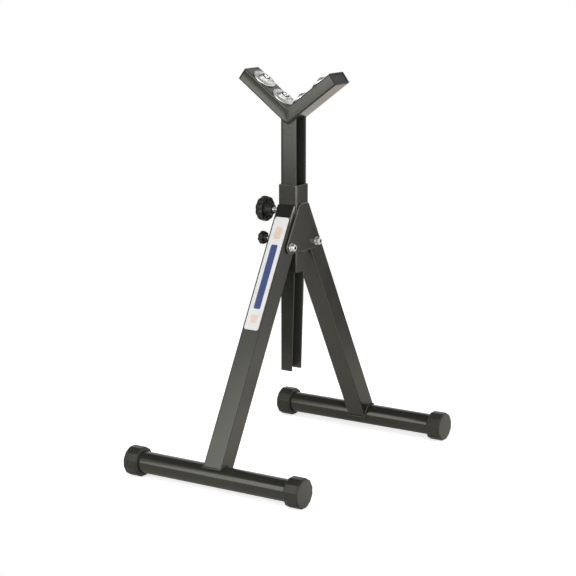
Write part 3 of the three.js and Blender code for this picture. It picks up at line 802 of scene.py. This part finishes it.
def foot_cap(side, end):
    """A cup along X: rings of a twelve-sided outline with a round bore. The outline fades to a circle
    toward the bore."""
    length = CAP_END - CAP_START
    bore = FOOT_TUBE_RADIUS + SEAT_GAP
    profile = softened([
        # bore, chamfered mouth, and chamfered end
        (0, length - CAP_FLOOR, 0), (bore, length - CAP_FLOOR, 0.6), (bore, 0, 0.7),
        (CAP_APOTHEM - CAP_MOUTH_CHAMFER, 0, 0.8), (CAP_APOTHEM, CAP_MOUTH_CHAMFER, 0.8),
        (CAP_APOTHEM, length - CAP_CHAMFER, 0.9), (CAP_APOTHEM - CAP_CHAMFER, length, 0.9),
        (0, length, 0)])
    reach = many_sided(CAP_SIDES, 420)

    def flats(radius, height, angle):
        """Rings outside the bore become twelve-sided, with one flat down."""
        outline = np.clip((radius - bore - 0.5) / 2, 0, 1)
        return radius * (1 + outline * (reach(angle - FULL_TURN / 4) - 1)), height

    place = foot_place(side) @ CAP_TURN[end] @ shift(CAP_START, 0, 0) @ ALONG_PLUS_X
    put_piece(f"{side}_foot_end_{end}", [turned(profile, 192, flats)], place, f"{side}_leg_and_foot",
              CAP_PLASTIC, "cap", f"{side}_foot_cap_{end}")


# Legs

def bevel_height(loops):
    """Height in the leg's frame of the upright plane that trims the leg beside the sleeve."""
    start = PIVOT_Y - SLEEVE_HALF - WINDOW_GAP
    return (start + loops[..., 1] * math.cos(LEG_LEAN)) / math.sin(LEG_LEAN)


def cope_height(loops, radius=FOOT_TUBE_RADIUS + SEAT_GAP):
    """Height in the leg's frame of the round foot tube's top."""
    return -LEG_REACH + np.sqrt(np.maximum(radius ** 2 - loops[..., 1] ** 2, 0))


def leg_tube(side):
    """A square tube whose lower end is coped over the foot and whose upper end is bevelled. The outer
    face ends lower, at the window's edge."""
    outer = rounded_rectangle(LEG_HALF, LEG_HALF, LEG_CORNER)
    inner = rounded_rectangle(LEG_HALF - TUBE_WALL, LEG_HALF - TUBE_WALL, LEG_CORNER - TUBE_WALL / 2)
    in_window = (np.abs(outer[:, 0]) < WINDOW_HALF) & (outer[:, 1] > LEG_HALF - TUBE_WALL / 2)

    def top(loops):
        """The window's lower edge, or the bevel beside it."""
        return np.where(in_window, WINDOW_START, bevel_height(loops))

    tube = trimmed_tube(outer, inner, cope_height, top)
    put_piece(f"{side}_leg_tube", [tube], leg_place(side), f"{side}_leg_and_foot",
              FRONT_LEG_PAINT if side == "front" else PAINT, "paint", f"{side}_leg")


def leg_weld(side):
    """A bead round the leg where it meets the foot tube. Its heights are taken a little inside the loop,
    which lifts it at the sides."""
    half = LEG_HALF + LEG_BEAD_PROUD
    loop = rounded_rectangle(half, half, LEG_CORNER)
    height = cope_height(LEG_BEAD_INSIDE * loop, FOOT_TUBE_RADIUS + LEG_BEAD_RISE)
    path = np.column_stack([loop, height])
    bead = weld_bead(path, LEG_BEAD, (0, 0, 1), closed=True, pitch=3)
    put_piece(f"{side}_foot_weld", [bead], leg_place(side), f"{side}_leg_and_foot", PAINT, "paint")


def leg_closure(side):
    """A dull plate in the leg's window, trimmed by the same upright plane as the leg."""
    middle = 0, (LEG_HALF - CLOSURE_DEPTH + LEG_HALF) / 2

    def outline(inset):
        """Loop of the plate's section."""
        return rounded_rectangle(CLOSURE_HALF - inset, CLOSURE_DEPTH / 2 - inset, CLOSURE_CORNER) + middle

    body = plate(outline, level_at(WINDOW_START + SEAT_GAP), bevel_height, CLOSURE_EDGE)
    put_piece(f"{side}_leg_window_plate", [body], leg_place(side), f"{side}_leg_and_foot",
              CLOSURE_PLASTIC, "cap", f"{side}_leg_closure")


def front_label():
    """A thin film with round corners on the front leg's outer face."""
    half_length = LABEL_LENGTH / 2

    def outline(inset):
        """Loop of the film's edge."""
        return rounded_rectangle(LABEL_HALF_WIDTH - inset, half_length - inset, LABEL_CORNER - inset)

    film = plate(outline, level_at(0), level_at(LABEL_FILM), LABEL_EDGE)
    upright = axes((-1, 0, 0), (0, 0, 1), (0, 1, 0))
    place = leg_place("front") @ shift(0, LEG_HALF + SEAT_GAP, LABEL_TOP - half_length) @ upright
    put_piece("front_leg_label", [film], place, "front_leg_and_foot", LABEL_PRINT, "label", "front_label")


# Hub

def sleeve():
    """A square tube that guides the mast."""
    outer = rounded_rectangle(SLEEVE_HALF, SLEEVE_HALF, SLEEVE_CORNER)
    bore = SLEEVE_HALF - TUBE_WALL
    inner = rounded_rectangle(bore, bore, SLEEVE_CORNER - TUBE_WALL / 2)
    tube = trimmed_tube(outer, inner, level_at(SLEEVE_FOOT), level_at(SLEEVE_TOP))
    put_piece("mast_sleeve", [tube], AS_IT_IS, "hub", HUB_PAINT, "paint", "sleeve")


def gusset_outline(inset):
    """Loop that wraps four equal circles, two at the pivots and two at the top, in Y and Z."""
    top = GUSSET_TOP - GUSSET_CORNER
    centres = np.array([(-PIVOT_Y, PIVOT_HEIGHT), (PIVOT_Y, PIVOT_HEIGHT), (GUSSET_TOP_HALF, top),
                        (-GUSSET_TOP_HALF, top)])
    sides = np.roll(centres, -1, axis=0) - centres
    outward = np.arctan2(sides[:, 1], sides[:, 0]) - math.pi / 2
    start = np.roll(outward, 1)
    sweep = (outward - start) % FULL_TURN
    angle = start[:, None] + sweep[:, None] * np.linspace(0, 1, 16)
    arcs = centres[:, None] + (GUSSET_CORNER - inset) * np.stack([np.cos(angle), np.sin(angle)], -1)
    return arcs.reshape(-1, 2)


def gussets():
    """A plate with rounded edges on each side of the sleeve, and a short smooth bead on the sleeve's
    wall below it."""
    for name, start in (("gusset_plain", SLEEVE_HALF), ("gusset_clamp", -GUSSET_FACE)):
        end = start + GUSSET_FACE - SLEEVE_HALF
        body = plate(gusset_outline, level_at(start), level_at(end), GUSSET_EDGE)
        put_piece(f"{name}_plate", [body], ALONG_PLUS_X, "hub", HUB_PAINT, "paint", name)
    for name, side in (("gusset_plain", 1), ("gusset_clamp", -1)):
        x, z = side * (SLEEVE_HALF + GUSSET_BEAD_PROUD), GUSSET_FOOT - GUSSET_BEAD_DROP
        path = [(x, y, z) for y in GUSSET_BEAD_ENDS]
        bead = weld_bead(path, GUSSET_BEAD, (1, 0, 0), pitch=4, ripple=0.04)
        put_piece(f"{name}_weld", [bead], AS_IT_IS, "hub", PAINT, "paint")


def washer_body(bore, radius, thickness):
    """A flat ring with softened edges."""
    return ring_body([(bore, 0, 0), (radius, 0, 0.35), (radius, thickness, 0.35), (bore, thickness, 0.3)])


def collar_body(bore, root, end):
    """The round end of a locking nut: a ring whose mouth is turned in."""
    return ring_body([(bore, root, 0), (COLLAR_RADIUS, root, 0.1), (COLLAR_RADIUS, end, 0.9),
                      (COLLAR_MOUTH, end, 0.3), (COLLAR_MOUTH, end - 0.6, 0.2), (bore, end - 0.9, 0.2)])


def insert_body(bore, low, high):
    """A ring that fills the locking nut's bore behind its mouth."""
    inner, outer = COLLAR_MOUTH + INSERT_PLAY, bore - INSERT_PLAY
    return ring_body([(inner, low, 0), (outer, low, 0.1), (outer, high, 0.1), (inner, high, 0.2)])


def pivot_fasteners(side):
    """A bolt with its hexagon head on -X, a washer on +X, and a locking nut with a dark insert."""
    centre = shift(0, PIVOT_Y if side == "rear" else -PIVOT_Y, PIVOT_HEIGHT)
    bore = PIVOT_SHANK + SEAT_GAP
    nut_start, nut_end = span_mm(f"{side}_pivot_nut")
    head_height = -GUSSET_FACE - span_mm(f"{side}_pivot_bolt")[0]
    shank_start = -GUSSET_FACE - head_height / 2
    head = hexagon_nut(PIVOT_HEX, head_height, 0)
    shank = threaded_rod(nut_end - BOLT_SUNK - shank_start, **PIVOT_THREAD)
    bolt = [carried(head, leftward(centre, -GUSSET_FACE)), carried(shank, rightward(centre, shank_start))]
    put_piece(f"{side}_leg_bolt", bolt, AS_IT_IS, "hub", ZINC, "zinc", f"{side}_pivot_bolt")
    ring = washer_body(bore, WASHER_RADIUS, WASHER_THICKNESS)
    put_piece(f"{side}_leg_washer", [ring], rightward(centre, GUSSET_FACE), "hub", ZINC, "zinc",
              f"{side}_pivot_washer")
    seat = rightward(centre, nut_start)
    hex_end = nut_end - nut_start - COLLAR_HEIGHT
    collar_end = hex_end + COLLAR_HEIGHT
    nut = [hexagon_nut(PIVOT_HEX, hex_end, bore), collar_body(bore, hex_end - COLLAR_ROOT, collar_end)]
    put_piece(f"{side}_leg_nut", nut, seat, "hub", ZINC, "zinc", f"{side}_pivot_nut")
    insert = insert_body(bore, hex_end - INSERT_DEPTH, collar_end - INSERT_SUNK)
    put_piece(f"{side}_leg_nut_insert", [insert], seat, "hub", SEAL_FELT, "cap")


# Clamps

def star_knob(diameter, thickness, lobes, lobe_depth, hub_diameter, hub_length, bore, socket):
    """A knob along Z: a conical hub that widens into a thick lobed disc. The disc's radius dips by a
    narrowed raised cosine between lobes. The hub's ribs and the hollows of the disc's back face follow
    the same wave."""
    radius, hub = diameter / 2, hub_diameter / 2
    end = hub_length + thickness
    profile = softened([
        # socket for the screw
        (0, socket, 0), (bore, socket, 0.1), (bore, 0, 0.3),
        # hub
        (hub * 0.84, 0, 0.8), (hub, hub_length * 0.75, 1.5), (hub * 1.25, hub_length + 0.8, 1.2),
        # back and rim of the disc
        (radius * 0.76, hub_length + 0.2, 1.2), (radius * 0.95, hub_length, 1),
        (radius, hub_length + thickness * 0.3, 1.4), (radius, end - thickness * 0.3, 1.8),
        # front of the disc, sunk at its middle
        (radius * 0.9, end, 1.6), (radius * 0.45, end, 0.6), (radius * 0.38, end - 0.8, 0.6),
        (0, end - 0.8, 0)], 6)

    def lobed(r, z, angle):
        """The wave between lobes, on the rim, the hub's ribs and the back face."""
        wave = ((1 - np.cos(lobes * angle)) / 2) ** 1.5
        rim = np.clip((r - hub * 1.2) / (radius * 0.9 - hub * 1.2), 0, 1) ** 1.5
        rib = np.clip((r - bore) / (hub * 0.8 - bore), 0, 1) * np.clip((hub * 1.3 - r) / hub, 0, 1)
        web = np.clip((r - hub * 1.1) / 2, 0, 1) * np.clip((radius * 0.9 - r) / 2, 0, 1)
        back = z < hub_length + thickness * 0.4
        sunk = back * web * thickness * 0.12 * (0.3 + 0.7 * wave)
        return r - lobe_depth * wave * rim - 0.5 * wave * rib, z + sunk

    return turned(profile, lobes * 16, lobed)


def screw_clamp(name, knob, thread, nut_apothem, pad_radius):
    """A welded nut with its bead, a screw with its knob, and the brass pad that the screw pushes."""
    centre = shift(0, *middle_mm(f"{name}_nut")[Y:])
    bore = thread["radius"] + SEAT_GAP
    nut_start, nut_end = span_mm(f"{name}_nut")
    screw_start, screw_end = span_mm(f"{name}_screw")
    knob_start, knob_end = span_mm(f"{name}_knob")
    pad_start, pad_end = span_mm(f"{name}_pad")
    nut = hexagon_nut(nut_apothem, nut_end - nut_start, bore)
    put_piece(f"{name}_weld_nut", [nut], leftward(centre, nut_end), "hub", ZINC, "zinc", f"{name}_nut")
    loop = circle(nut_apothem * NUT_BEAD_REACH, 64)
    ring = np.column_stack([loop, 0 * loop[:, 0]])
    bead = weld_bead(ring, NUT_BEAD, (0, 0, 1), closed=True)
    put_piece(f"{name}_nut_bead", [bead], leftward(centre, nut_end), "hub", PAINT, "paint")
    rod = threaded_rod(screw_end - screw_start, **thread)
    put_piece(f"{name}_threaded_rod", [rod], rightward(centre, screw_start), f"{name}_handle", ZINC,
              "zinc", f"{name}_screw")
    grip = star_knob(thickness=knob_end - knob_start - knob["hub_length"], bore=bore,
                     socket=knob_end - screw_start + SEAT_GAP, **knob)
    put_piece(f"{name}_star_knob", [grip], leftward(centre, knob_end), f"{name}_handle", KNOB_PLASTIC,
              "knob", f"{name}_knob")
    length = pad_end - pad_start
    edge = softened([(0, 0, 0), (pad_radius, 0, 0.4), (pad_radius, length, 0.4), (0, length, 0)])
    disc = turned(edge, 48)
    put_piece(f"{name}_brass_pad", [disc], rightward(centre, pad_start), f"{name}_tip", BRASS, "pad",
              f"{name}_pad")


# Mast and head

def soft_rise(x, depth):
    """Height of the V at a distance x from its middle plane: the slope times the hypotenuse of x and
    the corner's rounding, which is less far below the top face."""
    rounding = INNER_ROUNDING + (OUTER_ROUNDING - INNER_ROUNDING) * depth / ARM_DEPTH
    return math.tan(ARM_RISE) * np.hypot(x, rounding)


def mast_top(x):
    """Height of the V-shaped cut that seats the arms."""
    return HEAD_TIP - SEAT_GAP + soft_rise(x, ARM_DEPTH)


def mast():
    """A folded channel: its wall's middle line runs in along one flange, round a bend, across the web,
    round the other bend and out along the other flange. Each point of that line carries a closed
    ring, up the outside and down the inside. The flanges get shorter toward the foot of the mast, and
    their free edges are half-round."""
    half, wall = MAST_HALF, MAST_WALL
    middle, bend = half - wall / 2, MAST_BEND - wall / 2
    fold = MAST_BEND - half
    web = np.linspace(-1, 1, 7) * -fold
    arc = np.linspace(0, math.pi / 2, 7)[1:-1]
    flange = np.unique(np.concatenate([np.linspace(0, 1, 9), [-fold / (middle - fold)]]))
    swing = np.linspace(0, math.pi / 2, 6)

    def line(*values, mirror=1):
        """Values of the web, bend, flange and free edge in turn, with the far side mirrored."""
        half_line = [0 * stretch + value for stretch, value in zip((web, arc, flange, swing), values)]
        return np.concatenate([mirror * np.concatenate(half_line[1:])[::-1], *half_line])

    x = line(-middle, fold - bend * np.cos(arc), fold, fold)
    y = line(web, -fold + bend * np.sin(arc), middle, middle, mirror=-1)
    normal_x = line(-1, -np.cos(arc), 0, 0)
    normal_y = line(0, np.sin(arc), 1, 1, mirror=-1)
    reach = line(0, 0, flange, 1)
    lip = line(0, 0, 0, np.sin(swing) * wall / 2)
    thin = line(1, 1, 1, np.cos(swing))

    taper_end = MAST_FOOT + MAST_TAPER_LENGTH
    tail = np.array([0, 0.004, 0.2, 0.4, 0.6, 0.8, 1])
    straight = np.array([0.02, 0.5, 0.9, 0.99, 1])
    tapered = MAST_TAIL_DEPTH + tail * (2 * half - MAST_TAIL_DEPTH)
    depth = np.concatenate([tapered, 0 * straight + 2 * half])
    tip = depth - half - wall / 2
    side = np.array([1, -1])[:, None, None] * wall / 2
    out_x, out_y = side * (normal_x * thin)[:, None], side * (normal_y * thin)[:, None]
    wall_x = x[:, None] + reach[:, None] * (tip - fold) + lip[:, None] + out_x
    wall_y = y[:, None] + 0 * tip + out_y
    lower = np.broadcast_to(MAST_FOOT + tail * MAST_TAPER_LENGTH, wall_x[..., :len(tail)].shape)
    upper = taper_end + straight * (mast_top(wall_x[..., len(tail):]) - taper_end)
    outside, inside = np.stack([wall_x, wall_y, np.concatenate([lower, upper], axis=-1)], -1)
    rings = np.concatenate([outside, inside[:, ::-1]], axis=1)
    put_piece("channel_mast", [(rings, False)], AS_IT_IS, "mast_and_head", MAST_PAINT, "paint", "mast")


def arm_outline(inset=0.0, wall=0.0):
    """Loop of an arm's section, in Y and Z of the arm's frame."""
    trim = inset + wall
    corner = max(ARM_CORNER - inset - wall / 2, 0.4)
    loop = rounded_rectangle(ARM_HALF_WIDTH - trim, ARM_DEPTH / 2 - trim, corner)
    return loop - (0, ARM_DEPTH / 2)


def head_tube():
    """The two arms as one welded V: a rectangular tube's lines run along X from arm end to arm end, at
    a depth below the top face, and follow the softened V. Its upright walls bow by a soft crease at
    half depth, inward on the left arm and slightly outward on the right one."""
    end = ARM_END - PLUG_FLANGE - SEAT_GAP

    def reach(loops):
        """How far along X a line goes before the arm's square end cuts it."""
        return end * math.cos(ARM_RISE) - loops[..., 1] * math.sin(ARM_RISE)

    inward = np.linspace(0, 1, 15) ** 2 * 0.496
    lengthwise = np.concatenate([0.5 - inward[:0:-1], 0.5 + inward])
    points, rows_closed = trimmed_tube(arm_outline(), arm_outline(wall=TUBE_WALL),
                                       lambda loops: -reach(loops), reach, lip=0.3, straight=lengthwise)
    across, depth, along = points[..., 0], points[..., 1], points[..., 2]
    to_the_right = 0.5 + 0.5 * np.tanh(along / INNER_ROUNDING)
    hollow = LEFT_ARM_HOLLOW + (RIGHT_ARM_HOLLOW - LEFT_ARM_HOLLOW) * to_the_right
    bow = 1 - np.hypot(1 + 2 * depth / ARM_DEPTH, ARM_CREASE)
    across = across * (1 - hollow * bow / ARM_HALF_WIDTH)
    z = HEAD_CORNER + depth / math.cos(ARM_RISE) + soft_rise(along, -depth)
    tube = np.stack([along, across, z], -1), rows_closed
    put_piece("v_head_tube", [tube], AS_IT_IS, "mast_and_head", PAINT, "paint", "right_arm", "left_arm")


def arm_plug(side):
    """A plastic flange with a sunk panel on the arm's outer end."""
    flange = plate(arm_outline, level_at(ARM_END - PLUG_FLANGE), level_at(ARM_END), PLUG_EDGE,
                   recess=(PLUG_BORDER, PLUG_SINK))
    put_piece(f"{side}_arm_end_plug", [flange], arm_place(side) @ ALONG_PLUS_X, "mast_and_head",
              PLUG_PLASTIC, "cap", f"{side}_arm_plug")


def head_welds():
    """Beads where the arms sit on the mast, along the V-shaped seat and across the web."""
    x = np.linspace(-MAST_HALF + 1, MAST_HALF - 1, 41)
    outside = MAST_HALF + HEAD_BEAD_PROUD
    beads = []
    for side in (-1, 1):
        path = np.column_stack([x, 0 * x + side * outside, mast_top(x) - HEAD_BEAD_PROUD])
        beads.append(weld_bead(path, HEAD_BEAD, (0, 1, 0)))
    web_y, web_z = MAST_HALF - MAST_BEND, mast_top(MAST_HALF) - HEAD_BEAD_PROUD
    beads.append(weld_bead([(-outside, -web_y, web_z), (-outside, web_y, web_z)], HEAD_BEAD, (1, 0, 0)))
    put_piece("mast_head_weld", beads, AS_IT_IS, "mast_and_head", PAINT, "paint")


# Ball units

def housing_body():
    """A turned housing: a sunk cup, a round flange, a smooth cone, and the ball's seat inside a
    turned-in lip."""
    seat = BALL_RADIUS + SEAL_GAP
    mouth = math.asin((DOME_HEIGHT - DOME_LIP - BALL_RISE) / seat)
    swing = np.linspace(mouth, -math.pi / 2, 12)
    seat_line = np.column_stack([seat * np.cos(swing), BALL_RISE + seat * np.sin(swing)])
    seat_line[-1, 0] = 0
    outside = softened([
        # cup and flange
        (0, -CUP_DEPTH, 0), (CUP_RADIUS, -CUP_DEPTH, 1.2), (CUP_RADIUS, 0, 0.3), (FLANGE_RADIUS, 0, 0.7),
        (FLANGE_RADIUS, FLANGE_THICKNESS * 0.8, 0.8),
        # cone and lip
        (DOME_RADIUS, FLANGE_THICKNESS, 2.2), (DOME_TOP_RADIUS, DOME_HEIGHT, 0.9),
        (seat_line[0, 0] + DOME_LIP, DOME_HEIGHT, 0.2)], 8)
    return turned(np.concatenate([outside, seat_line]), 96)


def ball_body():
    """A sphere: rings of latitude."""
    latitude = np.linspace(-math.pi / 2, math.pi / 2, 33)
    profile = np.column_stack([BALL_RADIUS * np.cos(latitude), BALL_RADIUS * np.sin(latitude)])
    profile[[0, -1], 0] = 0
    return turned(profile, 64)


def seal_body():
    """A turned felt ring that fills the gap between the ball and the housing's lip: its inner edge
    follows the ball a little above the lip. Its dark colour is also painted shade for that gap."""
    low, lip, high = DOME_HEIGHT - SEAL_DEPTH, DOME_HEIGHT - DOME_LIP, DOME_HEIGHT + SEAL_PROUD

    def width(height, radius=BALL_RADIUS):
        """Radius of a sphere about the ball's centre, at a height."""
        return math.sqrt(radius ** 2 - (height - BALL_RISE) ** 2)

    inner, outer = width(low) + SEAL_CLEARANCE, width(lip, BALL_RADIUS + SEAL_GAP) - SEAL_PLAY
    return ring_body([
        (inner, low, 0), (outer, low, 0.1), (outer, lip, 0.3), (width(high) + SEAL_LAND, high, 0.3),
        (width(high) + SEAL_CLEARANCE, high, 0.1)], 96)


def flange_screw_body():
    """A pan head with a cross-shaped recess: a flattened dome lowered inside two crossed bars."""
    radius, height = SCREW_HEAD_RADIUS, SCREW_HEAD_HEIGHT
    share = np.linspace(0, 1, 18)
    dome = np.column_stack([radius * share, height * (1 - 0.7 * share ** 2.5)])
    shank = softened([(radius, 0, 0.2), (SCREW_SHANK_RADIUS, 0, 0.2),
                      (SCREW_SHANK_RADIUS, -SCREW_SHANK_LENGTH, 0.4), (0, -SCREW_SHANK_LENGTH, 0)])

    def crossed(r, z, angle):
        """The top face is lowered where a point is near one bar's line and not past its end."""
        x, y = np.abs(r * np.cos(angle)) / radius, np.abs(r * np.sin(angle)) / radius
        near, far = np.minimum(x, y), np.maximum(x, y)
        on_line = np.clip((RECESS_HALF_WIDTH - near) / 0.07, 0, 1)
        sunk = on_line * np.clip((RECESS_REACH - far) / 0.12, 0, 1)
        return r, z - np.where(z > 0.5 * height, sunk * height * RECESS_DEPTH, 0)

    return turned(np.concatenate([dome, shank]), 64, crossed)


def ball_unit(side, which):
    """One ball transfer unit: housing, ball, felt seal and three screws."""
    name = f"{side}_{which}"
    seat = arm_place(side) @ shift(BALL_ALONG[which], 0, SEAT_GAP)
    put_piece(f"{name}_ball_housing", [housing_body()], seat, "mast_and_head", ZINC, "zinc",
              f"{name}_housing")
    put_piece(f"{name}_steel_ball", [ball_body()], seat @ shift(0, 0, BALL_RISE), f"ball_{name}",
              BALL_STEEL, "ball", f"{name}_ball")
    # Dark felt in the gap round the ball: a seal, and painted shade for the gap
    put_piece(f"{name}_felt_seal", [seal_body()], seat, "mast_and_head", SEAL_FELT, "cap")
    for i in range(3):
        node = f"{name}_screw_{i + 1}"
        x, y = (np.linalg.inv(seat) @ np.append(middle_mm(node), 1))[:2]
        spin = turn("Z", SCREW_FIRST_TURN + SCREW_NEXT_TURN * i)
        place = seat @ shift(x, y, FLANGE_THICKNESS + SEAT_GAP) @ spin
        put_piece(f"{name}_flange_screw_{i + 1}", [flange_screw_body()], place, "mast_and_head", ZINC,
                  "zinc", node)


# The whole stand

for leg in ("front", "rear"):
    foot_tube(leg)
    foot_cap(leg, "a")
    foot_cap(leg, "b")
    leg_tube(leg)
    leg_weld(leg)
    leg_closure(leg)
    pivot_fasteners(leg)
    screw_clamp(f"{leg}_lock", LOCK_KNOB, LOCK_THREAD, LOCK_NUT, LOCK_PAD)
front_label()
sleeve()
gussets()
screw_clamp("clamp", CLAMP_KNOB, CLAMP_THREAD, CLAMP_NUT, CLAMP_PAD)
mast()
head_tube()
head_welds()
for arm in ("right", "left"):
    arm_plug(arm)
    for which in BALL_ALONG:
        ball_unit(arm, which)


# Camera, from the photograph's viewing angle

VIEW_AZIMUTH, VIEW_ELEVATION = math.radians(33.2073), math.radians(11.6085)
VIEW_DISTANCE, VIEW_SIDE, VIEW_HEIGHT = 3.62802, -0.010328, 0.340774
IMAGE_SIDE, FOCAL_PIXELS, SENSOR = 576, 1861.72, 36.0


def photograph_camera():
    """A long lens that looks at a point beside the mast."""
    right = Vector((math.cos(VIEW_AZIMUTH), math.sin(VIEW_AZIMUTH), 0))
    back = Vector((math.sin(VIEW_AZIMUTH) * math.cos(VIEW_ELEVATION),
                   -math.cos(VIEW_AZIMUTH) * math.cos(VIEW_ELEVATION), math.sin(VIEW_ELEVATION)))
    data = bpy.data.cameras.new("photograph_view")
    data.sensor_width = SENSOR
    data.lens = SENSOR * FOCAL_PIXELS / IMAGE_SIDE
    data.clip_end = 100
    camera = bpy.data.objects.new("photograph_view", data)
    camera.location = Vector((0, 0, VIEW_HEIGHT)) + right * VIEW_SIDE + back * VIEW_DISTANCE
    camera.rotation_euler = back.to_track_quat("Z", "Y").to_euler()
    bpy.context.scene.collection.objects.link(camera)
    bpy.context.scene.camera = camera


# Studio, in metres. A fade is two ends of a range, and the level at each.

CEILING_FADE = 0.56, 0.74, 1.0, 0.06
GROUND_FADE = -0.08, 0.0, 0.1, 1.0
LEFT_FADE = -0.88, -0.7, 0.06, 1.0
EVEN_LIGHT = 0.42
FLOOR_START, FLOOR_END = -0.75, 8
# The second floor colour is what reflections see: a painted reflection, warmer than the floor
FLOOR_PAINT, FLOOR_MIRRORED = (0.85, 0.85, 0.85), (0.90, 0.85, 0.78)
POOL_TINT = (1.0, 0.94, 0.84)
BLACK = (0, 0, 0)
# Spots on the floor: their middle, and a fade with the distance from it. The white ground is what the
# camera sees; the dim patch is painted shade and the pools are painted light, seen only in reflections
WHITE_GROUND = ORIGIN, (0.6, 2.0, 0.6, 0.8)
DIM_PATCH = (1.25, 1.95, 0), (0.95, 1.75, 0.62, 0)
POOL_BEHIND = (-0.5, 1.1, 0), (0.35, 1.05, 0.55, 0.06)
POOL_BESIDE = (0.36, 0.03, 0), (0.18, 0.36, 0.35, 0)


def soft_box(name, place, aim, width, height, radiance, roll=0.0):
    """A rectangular lamp, rolled about its own axis. Its power is radiance times area times pi."""
    data = bpy.data.lights.new(name, "AREA")
    data.shape = "RECTANGLE"
    data.size, data.size_y = width, height
    data.energy = radiance * width * height * math.pi
    lamp = bpy.data.objects.new(name, data)
    lamp.location = place
    facing = (Vector(place) - Vector(aim)).to_track_quat("Z", "Y")
    lamp.rotation_euler = (facing @ Quaternion((0, 0, 1), roll)).to_euler()
    lamp.visible_camera = False
    bpy.context.scene.collection.objects.link(lamp)


def studio_world():
    """White to the camera. In reflections it is white near the horizon, and darker overhead, to the
    left and below the horizon, where the floor ends. As light it is even and dimmer."""
    world = bpy.data.worlds.new("white_studio")
    tree = new_tree(world)
    path = add_node(tree, "ShaderNodeLightPath")
    toward = parts(tree, add_node(tree, "ShaderNodeTexCoord")["Generated"])
    fades = (("Z", CEILING_FADE), ("Z", GROUND_FADE), ("X", LEFT_FADE))
    mirrored = product(tree, *[mapped(tree, toward[axis], *fade) for axis, fade in fades])
    reflected = number(tree, "MAXIMUM", path["Is Glossy Ray"], path["Is Transmission Ray"])
    soft = add_node(tree, "ShaderNodeMix", {0: reflected, 2: EVEN_LIGHT, 3: mirrored})[0]
    level = add_node(tree, "ShaderNodeMix", {0: path["Is Camera Ray"], 2: soft, 3: 1.0})[0]
    background = add_node(tree, "ShaderNodeBackground", {"Color": (1, 1, 1), "Strength": level})
    add_node(tree, "ShaderNodeOutputWorld", {"Surface": background[0]})
    bpy.context.scene.world = world


def studio_floor():
    """A wide pale floor that ends a little way in front and to the left of the stand. To the camera it
    is lifted to white, more so far away, and it keeps the shadow. Reflections only see a painted floor:
    warmer, with painted shade in a patch behind on the right, and with glowing pools of painted light
    behind and beside the stand."""
    mesh = bpy.data.meshes.new("studio_floor")
    corners = [(FLOOR_START, FLOOR_START, 0), (FLOOR_END, FLOOR_START, 0), (FLOOR_END, FLOOR_END, 0),
               (FLOOR_START, FLOOR_END, 0)]
    mesh.from_pydata(corners, [], [(0, 1, 2, 3)])
    floor = bpy.data.objects.new("studio_floor", mesh)
    bpy.context.scene.collection.objects.link(floor)
    material, tree, place = new_finish("white_floor")
    path = add_node(tree, "ShaderNodeLightPath")

    def spot(ray, middle, fade):
        """The level of a spot for one kind of ray."""
        return product(tree, path[ray], mapped(tree, vector(tree, "DISTANCE", place, middle), *fade))

    pale = blended(tree, path["Is Glossy Ray"], FLOOR_PAINT, FLOOR_MIRRORED)
    # Painted shade: a patch that is dark in reflections only
    tone = blended(tree, spot("Is Glossy Ray", *DIM_PATCH), pale, BLACK)
    board = add_node(tree, "ShaderNodeBsdfDiffuse", {"Color": tone})
    glow = add_node(tree, "ShaderNodeEmission", {"Strength": spot("Is Camera Ray", *WHITE_GROUND)})
    # Painted light: warm pools that glow in reflections only
    pools = number(tree, "ADD", spot("Is Glossy Ray", *POOL_BEHIND), spot("Is Glossy Ray", *POOL_BESIDE))
    warm = add_node(tree, "ShaderNodeEmission", {"Color": POOL_TINT, "Strength": pools})
    lifts = add_node(tree, "ShaderNodeAddShader", {0: glow[0], 1: warm[0]})
    both = add_node(tree, "ShaderNodeAddShader", {0: board[0], 1: lifts[0]})
    add_node(tree, "ShaderNodeOutputMaterial", {"Surface": both[0]})
    mesh.materials.append(material)


photograph_camera()
studio_world()
studio_floor()
soft_box("front_left_box", (-0.98, -2.78, 1.235), (0, 0, 1.235), 1.88, 2.01, 3.7, roll=math.radians(3))
soft_box("front_box", (0.8, -3.05, 0.6), (0, 0, 0.6), 2.2, 2.2, 3.0)
soft_box("right_box", (2.7, -1.3, 0.55), (0, 0, 0.55), 1.6, 2.1, 2.3)
soft_box("side_card", (0.5, 0.45, 0.25), (0, 0.45, 0.25), 0.56, 0.5, 0.6)
soft_box("overhead_box", (0.6, -0.5, 3.2), (0.6, -0.5, 0), 2.0, 2.4, 1.9)
bpy.context.scene.view_settings.view_transform = "Standard"
